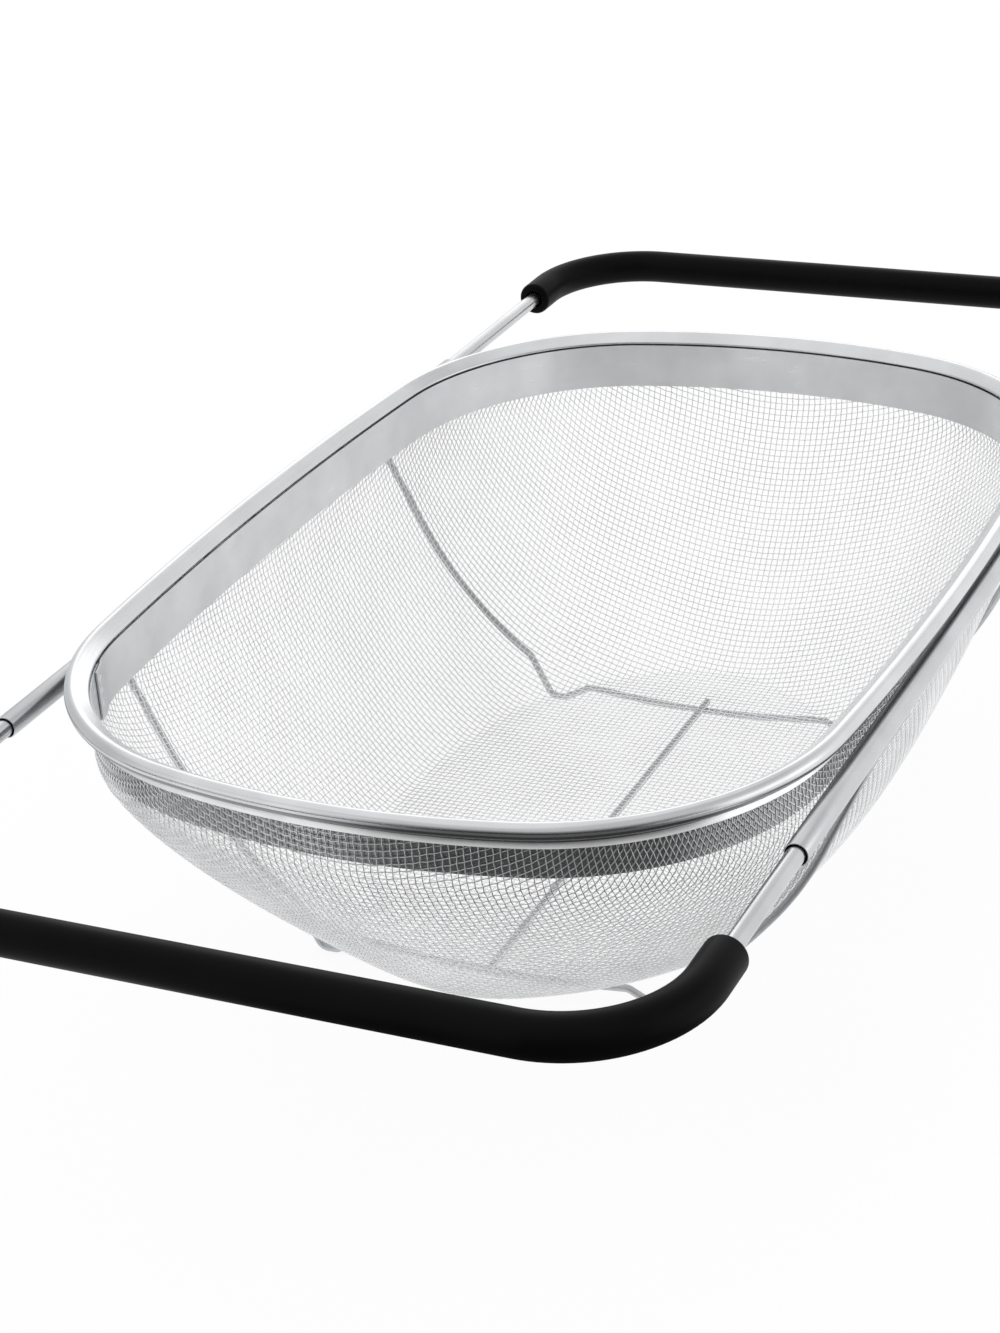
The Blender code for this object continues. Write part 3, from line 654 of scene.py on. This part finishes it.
class QuarterSurface:
    """One quarter of the basket as rows of points: floor from its centre, wall, and straight top."""

    FLOOR_ROWS = 80
    WALL_ROWS = 260
    TOP_ROWS = 60
    COLUMNS = 241
    OVERSHOOT = 0.03
    LAST_ROW_MARGIN = 0.001

    def __init__(self):
        edge = quarter_edge(self.COLUMNS)
        floor_edge = wall_ring(edge, 1.0)
        centre = np.array((0.0, 0.0, FLOOR_Z))
        rows = [centre + (floor_edge - centre) * step / self.FLOOR_ROWS for step in range(self.FLOOR_ROWS)]
        rows += [wall_ring(edge, 1.0 - step**2) for step in np.linspace(0.0, 1.0, self.WALL_ROWS)]
        rise = STRAIGHT_DEPTH + self.OVERSHOOT
        for step in range(1, self.TOP_ROWS + 1):
            rows.append(wall_ring(edge, 0.0) + (0.0, 0.0, rise * step / self.TOP_ROWS))
        self.rows = np.array(rows)
        self.last_row = len(rows) - 1
        self.last_column = self.COLUMNS - 1

    def at(self, row, column):
        """Points between rows and columns, carried over a plane of symmetry where a column runs past it."""
        row = np.clip(row, 0.0, self.last_row - self.LAST_ROW_MARGIN)
        past_end = column < 0
        past_side = column > self.last_column
        column = np.where(past_end, -column, np.where(past_side, 2 * self.last_column - column, column))
        low_row = row.astype(int)
        low_column = np.clip(column.astype(int), 0, self.last_column - 1)
        up = (row - low_row)[..., None]
        on = (column - low_column)[..., None]
        near = self.rows[low_row, low_column] * (1 - up) + self.rows[low_row + 1, low_column] * up
        far = self.rows[low_row, low_column + 1] * (1 - up) + self.rows[low_row + 1, low_column + 1] * up
        points = near * (1 - on) + far * on
        points[..., 0] *= np.where(past_side, -1.0, 1.0)
        points[..., 1] *= np.where(past_end, -1.0, 1.0)
        return points

    def even_rows(self, column):
        """Rows at which a line up the given column has gone each further pitch from the basket's centre."""
        line = self.rows[:, column]
        run = np.concatenate(([0.0], np.cumsum(np.linalg.norm(np.diff(line, axis=0), axis=1))))
        return np.interp(np.arange(0.0, run[-1], PITCH), run, np.arange(len(line)))


def crossing_grid(surface):
    """Where one quarter's wires cross: each mesh keeps its sides a pitch long, and only its angles change."""
    end_rows = surface.even_rows(0)
    side_rows = surface.even_rows(surface.last_column)
    shape = (len(end_rows), len(side_rows))
    row = np.full(shape, np.nan)
    column = np.full(shape, np.nan)
    row[:, 0] = end_rows
    column[:, 0] = 0.0
    row[0, :] = side_rows
    column[0, :] = surface.last_column
    lay_floor(surface, row, column)
    reach = 2 * math.cos(LEAST_CROSSING_ANGLE / 2)
    for diagonal in range(2, shape[0] + shape[1] - 1):
        i = np.arange(max(1, diagonal - shape[1] + 1), min(diagonal, shape[0]))
        j = diagonal - i
        ready = np.isnan(row[i, j]) & np.isfinite(row[i - 1, j]) & np.isfinite(row[i, j - 1])
        i, j = i[ready], j[ready]
        if len(i) == 0:
            continue
        first = surface.at(row[i - 1, j], column[i - 1, j])
        second = surface.at(row[i, j - 1], column[i, j - 1])
        side = np.maximum(PITCH, np.linalg.norm(first - second, axis=1) / reach)
        guess_row = row[i - 1, j] + row[i, j - 1] - row[i - 1, j - 1]
        guess_column = column[i - 1, j] + column[i, j - 1] - column[i - 1, j - 1]
        found_row, found_column, miss = equally_far(surface, first, second, side, guess_row, guess_column)
        good = (miss < MISS_SHARE * PITCH) & (found_row < surface.last_row - 1)
        row[i[good], j[good]] = found_row[good]
        column[i[good], j[good]] = found_column[good]
    points = surface.at(np.nan_to_num(row), np.nan_to_num(column))
    points[np.isnan(row)] = np.nan
    return points


def lay_floor(surface, row, column):
    """On the flat floor the wires stay square, so their crossings follow straight from the pitch."""
    edge = surface.rows[surface.FLOOR_ROWS]
    edge_angle = np.arctan2(edge[:, 1], edge[:, 0])
    i, j = np.meshgrid(np.arange(row.shape[0]), np.arange(row.shape[1]), indexing="ij")
    angle = np.arctan2(j, i)
    reach = np.interp(angle, edge_angle, np.hypot(edge[:, 0], edge[:, 1]))
    out = np.hypot(i, j) * PITCH / reach
    flat = (out < FLAT_FLOOR_SHARE) & (i > 0) & (j > 0)
    row[flat] = out[flat] * surface.FLOOR_ROWS
    column[flat] = np.interp(angle, edge_angle, np.arange(len(edge)))[flat]


def equally_far(surface, first, second, side, row, column):
    """Newton's steps to the point of the surface that is one mesh side from each of two points."""
    for _ in range(SEARCH_ROUNDS):
        row = np.clip(row, LOWEST_ROW, surface.last_row - TOP_MARGIN)
        point = surface.at(row, column)
        by_row = (surface.at(row + NUDGE, column) - surface.at(row - NUDGE, column)) / (2 * NUDGE)
        by_column = (surface.at(row, column + NUDGE) - surface.at(row, column - NUDGE)) / (2 * NUDGE)
        from_first = point - first
        from_second = point - second
        error_first = (from_first**2).sum(1) - side**2
        error_second = (from_second**2).sum(1) - side**2
        a = 2 * (from_first * by_row).sum(1)
        b = 2 * (from_first * by_column).sum(1)
        c = 2 * (from_second * by_row).sum(1)
        d = 2 * (from_second * by_column).sum(1)
        area = a * d - b * c
        area = np.where(np.abs(area) < NO_AREA, NO_AREA, area)
        step_row = (b * error_second - d * error_first) / area
        step_column = (c * error_first - a * error_second) / area
        cap = np.minimum(1.0, LONGEST_STEP / np.maximum(np.hypot(step_row, step_column), NO_STEP))
        row = row + step_row * cap
        column = column + step_column * cap
    point = surface.at(row, column)
    miss_first = np.abs(np.linalg.norm(point - first, axis=1) - side)
    miss_second = np.abs(np.linalg.norm(point - second, axis=1) - side)
    return row, column, np.maximum(miss_first, miss_second)


# Weave


def unit_vectors(vectors):
    return vectors / np.maximum(np.linalg.norm(vectors, axis=2, keepdims=True), NO_LENGTH)


def whole_grid():
    """The crossings of all four quarters, with each wire's small wander, and the outward normals there."""
    quarter = crossing_grid(QuarterSurface())
    half = np.concatenate((quarter[:0:-1] * (-1.0, 1.0, 1.0), quarter))
    grid = np.concatenate((half[:, :0:-1] * (1.0, -1.0, 1.0), half), axis=1)
    grid[..., 0] += RIM_X
    by_first = neighbour_step(grid, 0)
    by_second = neighbour_step(grid, 1)
    normals = unit_vectors(np.cross(by_second, by_first))
    wander = np.random.default_rng(WANDER_SEED).normal(0.0, WIRE_WANDER, (*grid.shape[:2], 2))
    grid = grid + unit_vectors(by_first) * wander[..., :1] + unit_vectors(by_second) * wander[..., 1:]
    return grid, normals


def neighbour_step(grid, axis):
    """From the crossing before to the one after along a wire, or from the crossing itself at an end."""
    after = np.roll(grid, -1, axis=axis)
    before = np.roll(grid, 1, axis=axis)
    after = np.where(np.isnan(after), grid, after)
    before = np.where(np.isnan(before), grid, before)
    return after - before


def woven_wires(name, points, normals, there, finish):
    """One mesh of all the wires that run along the grid's second axis, where the grid has points."""
    has_after = np.pad(there[:, :-1] & there[:, 1:], ((0, 0), (0, 1)))
    has_before = np.pad(has_after[:, :-1], ((0, 0), (1, 0)))
    kept = has_after | has_before
    after = np.where(has_after[..., None], np.roll(points, -1, axis=1), points)
    before = np.where(has_before[..., None], np.roll(points, 1, axis=1), points)
    along = unit_vectors(after - before)
    across = unit_vectors(np.cross(along, normals))
    up = np.cross(across, along)
    angles = (np.arange(MESH_WIRE_SIDES) + 0.5) * 2 * math.pi / MESH_WIRE_SIDES
    turned = up[..., None, :] * np.cos(angles)[:, None] + across[..., None, :] * np.sin(angles)[:, None]
    rings = points[..., None, :] + MESH_WIRE_RADIUS * turned
    faces = wire_faces(kept, has_before, has_after)
    mesh = bpy.data.meshes.new(name)
    mesh.from_pydata(rings[kept].reshape(-1, 3).tolist(), [], faces.tolist())
    mesh.shade_smooth()
    placed(name, mesh, finish, "basket", "woven_steel", "basket_mesh")


def wire_faces(kept, has_before, has_after):
    """The sides of each wire from ring to ring, and the flats that close both its ends."""
    number = (np.cumsum(kept).reshape(kept.shape) - 1) * MESH_WIRE_SIDES
    start = number[has_after]
    ahead = start + MESH_WIRE_SIDES
    quads = []
    for side in range(MESH_WIRE_SIDES):
        step = (side + 1) % MESH_WIRE_SIDES
        quads.append(np.column_stack((start + side, start + step, ahead + step, ahead + side)))
    first_ends = number[kept & ~has_before][:, None] + np.arange(MESH_WIRE_SIDES)[::-1]
    last_ends = number[kept & ~has_after][:, None] + np.arange(MESH_WIRE_SIDES)
    return np.concatenate(quads + [first_ends, last_ends])


def make_weave(finish):
    """Plain weave in four pieces: cross wires left and right, and long wires that pass them the other way."""
    grid, normals = whole_grid()
    there = np.isfinite(grid[..., 0]) & (grid[..., 2] < RIM_Z - WEAVE_TOP_DEPTH)
    grid = np.nan_to_num(grid)
    normals = np.nan_to_num(normals)
    i, j = np.meshgrid(*(np.arange(size) for size in there.shape), indexing="ij")
    over = np.where((i + j) % 2 == 0, MESH_WIRE_RADIUS, -MESH_WIRE_RADIUS)[..., None] * normals
    cross_wires = (grid - over, normals, there)
    long_wires = tuple(array.swapaxes(0, 1) for array in (grid + over, normals, there))
    for names, arrays in (
        (("weave_cross_wires_left", "weave_cross_wires_right"), cross_wires),
        (("weave_long_wires_front", "weave_long_wires_back"), long_wires),
    ):
        middle = len(arrays[0]) // 2
        for name, part in zip(names, (slice(0, middle), slice(middle, None))):
            woven_wires(name, *(array[part] for array in arrays), finish)


# Round bars, tubes and sleeves


def sections(bm, points, radii, sides):
    """Rings of points square to a path, carried along from its middle with a flat of theirs facing down."""
    count = len(points)
    tangents = []
    for index in range(count):
        before = points[max(index - 1, 0)]
        after = points[min(index + 1, count - 1)]
        tangents.append((after - before).normalized())
    middle = count // 2
    normals = [None] * count
    normals[middle] = Vector((0.0, 0.0, 1.0))
    for index in list(range(middle + 1, count)) + list(range(middle - 1, -1, -1)):
        carried = normals[index - 1] if index > middle else normals[index + 1]
        normals[index] = (carried - tangents[index] * carried.dot(tangents[index])).normalized()
    rows = []
    for point, radius, tangent, normal in zip(points, radii, tangents, normals):
        across = tangent.cross(normal)
        row = []
        for index in range(sides):
            angle = 2 * math.pi * (index + 0.5) / sides
            row.append(bm.verts.new(point + radius * (math.cos(angle) * normal + math.sin(angle) * across)))
        rows.append(row)
    return rows


def rounded_ends(points, radius, steps):
    """A path with close stations added at both tips, and the radii that round the tips over."""
    first = (points[1] - points[0]).normalized()
    last = (points[-2] - points[-1]).normalized()
    angles = [math.pi / 2 * step / steps for step in range(steps)]
    run = [radius * (1 - math.cos(angle)) for angle in angles]
    sizes = [max(radius * math.sin(angle), radius * TIP_LEAST_SHARE) for angle in angles]
    start = [points[0] + first * out for out in run]
    stop = [points[-1] + last * out for out in reversed(run)]
    tips = (points[0], points[-1])
    inner = [point for point in points if min((point - tip).length for tip in tips) > radius]
    start.append(points[0] + first * radius)
    stop.insert(0, points[-1] + last * radius)
    path = start + inner + stop
    radii = sizes + [radius] * (len(inner) + 2) + sizes[::-1]
    return path, radii


def make_bar(name, points, radii, sides, finish, body, slot, *nodes):
    """A solid round bar along a path, closed by a flat at both ends."""
    bm = bmesh.new()
    rows = sections(bm, points, radii, sides)
    bridge(bm, rows)
    bm.faces.new(rows[0])
    bm.faces.new(rows[-1])
    mesh_piece(name, bm, finish, body, slot, *nodes)


def bored_sections(bm, points, outer_radii, inner_radii, sides):
    """Rings of points for a piece with a bore: along its outside, and back along its inside."""
    outer = sections(bm, points, outer_radii, sides)
    inner = sections(bm, points, inner_radii, sides)
    return outer + inner[::-1]


def make_guide_tube(name, side, finish):
    """A thin tube with softly rounded mouths and two stop dimples pressed up into it from below."""
    steps = range(-DIMPLE_STEPS, DIMPLE_STEPS + 1)
    dimple = [DIMPLE_OUT + DIMPLE_HALF_LENGTH * step / DIMPLE_STEPS for step in steps]
    mouth = [TUBE_HALF_LENGTH - MOUTH_ROUND, TUBE_HALF_LENGTH - MOUTH_FIRST_CUT, TUBE_HALF_LENGTH]
    half = [0.0] + dimple + mouth
    stations = [-out for out in reversed(half[1:])] + half
    line = [Vector((RIM_X + out, side * TUBE_OUT, TUBE_Z)) for out in stations]
    shrink = {mouth[1]: MOUTH_FIRST_CUT, mouth[2]: MOUTH_ROUND}
    outer_radii = [TUBE_RADIUS - shrink.get(abs(out), 0.0) for out in stations]
    inner_radii = [TUBE_RADIUS - TUBE_WALL + shrink.get(abs(out), 0.0) / 2 for out in stations]
    bm = bmesh.new()
    rows = bored_sections(bm, line, outer_radii, inner_radii, TUBE_SIDES)
    for out, row in zip(stations + stations[::-1], rows):
        press_dimple(row, abs(out) - DIMPLE_OUT)
    bridge(bm, rows, wrap=True)
    mesh_piece(name + "_fine", bm, finish, "basket", "tube_steel", name)


def press_dimple(row, off):
    """Lifts the bottom of a tube's section where the section lies within a dimple."""
    if abs(off) >= DIMPLE_HALF_LENGTH:
        return
    lift = DIMPLE_DEPTH * math.cos(math.pi / 2 * off / DIMPLE_HALF_LENGTH) ** 2
    for vertex in row:
        down = (TUBE_Z - vertex.co.z) / TUBE_RADIUS
        vertex.co.z += lift * max(0.0, down - DIMPLE_START_SHARE) / (1.0 - DIMPLE_START_SHARE)


def handle_path(hand, bar_out, leg_stations):
    """A handle's centre line: up one leg through the stations, round both bends and back down the other."""
    half = [Vector((out, TUBE_OUT)) for out in leg_stations]
    centre = Vector((bar_out - ROD_BEND_RADIUS, TUBE_OUT - ROD_BEND_RADIUS))
    for step in range(ROD_BEND_STEPS + 1):
        angle = math.pi / 2 * (1 - step / ROD_BEND_STEPS)
        half.append(centre + ROD_BEND_RADIUS * Vector((math.cos(angle), math.sin(angle))))
    there = [Vector((RIM_X + hand * point.x, point.y, TUBE_Z)) for point in half]
    back = [Vector((point.x, -point.y, point.z)) for point in reversed(there)]
    return there + [there[-1].lerp(back[0], 0.5)] + back


def mirrored(values, length):
    """Sizes at the start of a path, the last of them kept up to its middle, and the same backwards."""
    half = values + [values[-1]] * (length // 2 + 1 - len(values))
    return half + half[-2::-1]


def make_handle(side_name, hand, finishes):
    """A rod whose legs end in a peened head and a spigot for the friction bush, and the grip on its bar."""
    body = side_name + "_handle"
    grip_low, grip_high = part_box(side_name + "_handle_grip")
    rod_low, rod_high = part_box(side_name + "_handle_rod")
    outside = grip_high.x if hand > 0 else -grip_low.x
    grip_end = abs((grip_low.x if hand > 0 else grip_high.x) - RIM_X)
    bar_out = outside + hand * -RIM_X - (grip_high.z - grip_low.z) / 2
    rod_end = (rod_low.x - RIM_X) if hand > 0 else (RIM_X - rod_high.x)
    shoulder = rod_end + HEAD_LENGTH + 2 * SEAT_GAP + BUSH_LENGTH
    stations = [rod_end, rod_end + HEAD_LENGTH, rod_end + HEAD_LENGTH, shoulder, shoulder]
    path = handle_path(hand, bar_out, stations)
    radii = mirrored([HEAD_RADIUS, HEAD_RADIUS, SPIGOT_RADIUS, SPIGOT_RADIUS, ROD_RADIUS], len(path))
    make_bar(
        side_name + "_rod_fine", path, radii, ROD_SIDES, finishes["rod"],
        body, "rod_steel", side_name + "_handle_rod",
    )
    make_grip(side_name, hand, bar_out, grip_end, finishes["rubber"])


def make_grip(side_name, hand, bar_out, end, finish):
    """A thick rubber sleeve with both ends rounded over and a slightly flared bore."""
    angles = [math.pi / 2 * step / GRIP_EDGE_STEPS for step in range(GRIP_EDGE_STEPS + 1)]
    stations = [end + GRIP_EDGE_ROUND * (1 - math.cos(angle)) for angle in angles]
    cut_back = [GRIP_EDGE_ROUND * (1 - math.sin(angle)) for angle in angles]
    path = handle_path(hand, bar_out, stations)
    outer = mirrored([GRIP_RADIUS - cut for cut in cut_back], len(path))
    flare = mirrored([GRIP_BORE_RADIUS + cut / 2 for cut in cut_back], len(path))
    bm = bmesh.new()
    bridge(bm, bored_sections(bm, path, outer, flare, GRIP_SIDES), wrap=True)
    body = side_name + "_handle"
    mesh_piece(side_name + "_grip_soft", bm, finish, body, "grip_rubber", side_name + "_handle_grip")


# Base wires


def bent(corners, radius):
    """A path with each corner rounded to the radius, or to what its two sides leave room for."""
    path = [corners[0]]
    for before, corner, after in zip(corners, corners[1:], corners[2:]):
        back = before - corner
        on = after - corner
        turn = math.pi - back.angle(on)
        reach = min(radius * math.tan(turn / 2), back.length / 2, on.length / 2)
        start = corner + back.normalized() * reach
        stop = corner + on.normalized() * reach
        steps = max(1, math.ceil(turn / WIRE_BEND_STEP))
        for step in range(steps + 1):
            share = step / steps
            path.append(start.lerp(corner, share).lerp(corner.lerp(stop, share), share))
        if steps == 1:
            del path[-2:]
            path.append(corner)
    path.append(corners[-1])
    return path


def wall_in_plane(edge, share):
    """Where the weave crosses a cross wire's plane at a share of the wall's height, and its slope in plan."""
    ring = wall_ring(edge, share)[::-1]
    places = (CROSS_WIRE_OUT - CAD_WIRE_RADIUS, CROSS_WIRE_OUT, CROSS_WIRE_OUT + CAD_WIRE_RADIUS)
    inner, y, outer = np.interp(places, ring[:, 0], ring[:, 1])
    return Vector((y, ring[0, 2])), (outer - inner) / (2 * CAD_WIRE_RADIUS)


def leg_points():
    """A leg from above the foot upwards: it stands off the wall at first and soon lies along it."""
    edge = quarter_edge(QuarterSurface.COLUMNS)
    low = FOOT_Z + FOOT_TO_LEG_RISE
    high = RIM_Z - LEG_TOP_DEPTH
    points = []
    for step in range(LEG_STEPS + 1):
        climbed = step / LEG_STEPS
        height = low + (high - low) * climbed
        share = (WALL_TOP_Z - height) / (WALL_TOP_Z - FLOOR_Z)
        wall, slope = wall_in_plane(edge, share)
        above, _ = wall_in_plane(edge, share - 1 / LEG_STEPS)
        upward = (above - wall).normalized()
        seat = wall.x + WIRE_TOUCH * math.hypot(1.0, slope * upward.y) / upward.y
        off = LEG_STAND_OFF * max(0.0, 1.0 - climbed / LEG_MEETS_WALL_SHARE) ** LEG_APPROACH_POWER
        points.append(Vector((seat + off, height)))
    return points


def make_cross_wire(name, hand, finish):
    """A wire bent to a low bow under the floor, two feet, two legs up the wall and a run under each tube."""
    middle = Vector((0.0, CROSS_WIRE_Z))
    shoulder = Vector((FOOT_OUT - FOOT_TO_SHOULDER, FLOOR_Z - WIRE_TOUCH))
    bow = Vector((shoulder.x / 2, middle.y + (shoulder.y - middle.y) * BOW_RISE_SHARE))
    half = [middle, bow, shoulder]
    half += [Vector((FOOT_OUT - FOOT_FLAT / 2, FOOT_Z)), Vector((FOOT_OUT + FOOT_FLAT / 2, FOOT_Z))]
    half += leg_points()
    half.append(Vector((TUBE_OUT, WIRE_RUN_Z)))
    corners = [Vector((CROSS_WIRE_OUT, point.x, point.y)) for point in half]
    corners.append(Vector((CROSS_WIRE_OUT - TUBE_RUN, TUBE_OUT, WIRE_RUN_Z)))
    there = [Vector((RIM_X + hand * p.x, p.y, p.z)) for p in bent(corners, WIRE_BEND_RADIUS)]
    back = [Vector((p.x, -p.y, p.z)) for p in reversed(there[1:])]
    path, radii = rounded_ends(back + there, WIRE_RADIUS, TIP_STEPS)
    make_bar(name + "_fine", path, radii, WIRE_SIDES, finish, "basket", "wire_steel", name)


def make_long_wire(finish):
    """A straight wire that lies on both cross wires."""
    reach = CROSS_WIRE_OUT + CAD_WIRE_RADIUS + LONG_WIRE_STUB
    line = [Vector((RIM_X + x, 0.0, LONG_WIRE_Z)) for x in (-reach, 0.0, reach)]
    path, radii = rounded_ends(line, WIRE_RADIUS, TIP_STEPS)
    make_bar("long_base_wire_fine", path, radii, WIRE_SIDES, finish, "basket", "wire_steel", "long_base_wire")


# Stage, light and camera


def in_sector(nodes, direction, azimuth, half_width):
    """1 for a direction within the inner half width of an azimuth, 0 outside the outer one, at any height."""
    level = nodes.vector_math("MULTIPLY", direction, (1.0, 1.0, 0.0))
    unit = nodes.vector_math("NORMALIZE", level)
    middle = (math.cos(azimuth), math.sin(azimuth), 0.0)
    towards = nodes.vector_math("DOT_PRODUCT", unit, middle, "Value")
    outer, inner = (math.cos(half) for half in half_width)
    return nodes.spread(towards, 0.0, 1.0, outer, inner)


def pale_walls(nodes, direction):
    """How bright the walls are in metal: pale at the sides and softer at the back."""
    return nodes.blend(in_sector(nodes, direction, BACK_AZIMUTH, BACK_HALF_WIDTH), SIDE_LEVEL, BACK_LEVEL)


def make_floor():
    """A white sweep: it keeps a soft shadow, and metal sees the unlit floor before the camera in it."""
    mesh = bpy.data.meshes.new("studio_floor")
    half = FLOOR_HALF_SIZE
    corners = [(-half, -half, 0.0), (half, -half, 0.0), (half, half, 0.0), (-half, half, 0.0)]
    mesh.from_pydata(corners, [], [(0, 1, 2, 3)])
    material = bpy.data.materials.new("studio_floor")
    material.use_nodes = True
    nodes = Nodes(material.node_tree)
    material.node_tree.nodes.clear()
    rays = nodes.add("ShaderNodeLightPath")
    camera, glossy = (rays.outputs[kind] for kind in ("Is Camera Ray", "Is Glossy Ray"))
    share = nodes.math("MULTIPLY", nodes.math("ADD", camera, glossy), GLOW_SHARE)
    place = nodes.place("Object")
    reach = nodes.vector_math("LENGTH", place, output="Value")
    beyond = nodes.spread(reach, 0.0, 1.0, *FLOOR_ROOM_START)
    room = in_sector(nodes, place, FLOOR_ROOM_AZIMUTH, FLOOR_ROOM_HALF_WIDTH)
    in_metal = nodes.blend(nodes.math("MULTIPLY", room, beyond), pale_walls(nodes, place), FLOOR_ROOM_LEVEL)
    matt = nodes.add("ShaderNodeBsdfDiffuse", Color=FLOOR_COLOUR)
    glow = nodes.add("ShaderNodeEmission", Color=WHITE, Strength=nodes.blend(glossy, 1.0, in_metal))
    both = nodes.add("ShaderNodeMixShader")
    for index, value in enumerate((share, matt.outputs[0], glow.outputs[0])):
        nodes.link(value, both.inputs[index])
    nodes.add("ShaderNodeOutputMaterial", Surface=both.outputs[0])
    mesh.materials.append(material)
    floor = linked("studio_floor", mesh)


def make_world():
    """White all round for the camera. Metal sees pale walls, a softer ceiling and the dark room before it."""
    world = bpy.data.worlds.new("studio")
    bpy.context.scene.world = world
    world.use_nodes = True
    world.cycles.sampling_method = "NONE"
    nodes = Nodes(world.node_tree)
    rays = nodes.add("ShaderNodeLightPath")
    direction = nodes.place("Generated")
    height = nodes.add("ShaderNodeSeparateXYZ", Vector=direction).outputs["Z"]
    risen = nodes.spread(height, 0.0, 1.0, *OVERHEAD_RISE)
    walls = nodes.blend(risen, pale_walls(nodes, direction), OVERHEAD_LEVEL)
    room = nodes.spread(height, ROOM_LEVEL, OVERHEAD_LEVEL, *ROOM_TOP)
    in_metal = nodes.blend(in_sector(nodes, direction, ROOM_AZIMUTH, ROOM_HALF_WIDTH), walls, room)
    seen = nodes.blend(rays.outputs["Is Camera Ray"], in_metal, 1.0)
    strength = nodes.blend(rays.outputs["Is Diffuse Ray"], seen, DIFFUSE_LEVEL)
    nodes.feed(world.node_tree.nodes["Background"], Color=WHITE, Strength=strength)


def make_lamp(name, place, aim, size, power):
    light = bpy.data.lights.new(name, "AREA")
    light.shape = "RECTANGLE"
    light.size, light.size_y = size
    light.energy = power
    lamp = linked(name, light)
    lamp.location = place
    lamp.rotation_euler = (Vector(aim) - Vector(place)).to_track_quat("-Z", "Y").to_euler()


def make_camera():
    data = bpy.data.cameras.new("camera")
    data.sensor_fit = "AUTO"
    data.sensor_width = SENSOR_WIDTH_MM
    data.lens = FOCAL_LENGTH_MM
    data.clip_start = CLIP_START
    camera = linked("camera", data)
    turn = Matrix.Rotation(CAMERA_AZIMUTH, 4, "Z")
    tilt = Matrix.Rotation(math.pi / 2 - CAMERA_ELEVATION, 4, "X")
    roll = Matrix.Rotation(CAMERA_ROLL, 4, "Z")
    camera.matrix_world = Matrix.Translation(CAMERA_PLACE) @ turn @ tilt @ roll
    bpy.context.scene.camera = camera


def main():
    finishes = make_finishes()
    make_rim_hoop(finishes["rim"], finishes["lip"], finishes["rim painted shade"])
    make_inner_band(finishes["band"], finishes["band painted shade"])
    make_weave(finishes["woven"])
    make_guide_tube("front_guide_tube", -1, finishes["tube"])
    make_guide_tube("back_guide_tube", 1, finishes["tube"])
    make_cross_wire("left_base_wire", -1, finishes["wire"])
    make_cross_wire("right_base_wire", 1, finishes["wire"])
    make_long_wire(finishes["wire"])
    make_handle("left", -1, finishes)
    make_handle("right", 1, finishes)
    for node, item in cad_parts.items():
        if node.endswith("rod_bush"):
            item.data.materials.clear()
            item.data.materials.append(finishes["plastic"])
    make_floor()
    make_world()
    for lamp in LAMPS:
        make_lamp(*lamp)
    make_camera()
    bpy.context.scene.view_settings.view_transform = "Standard"


main()
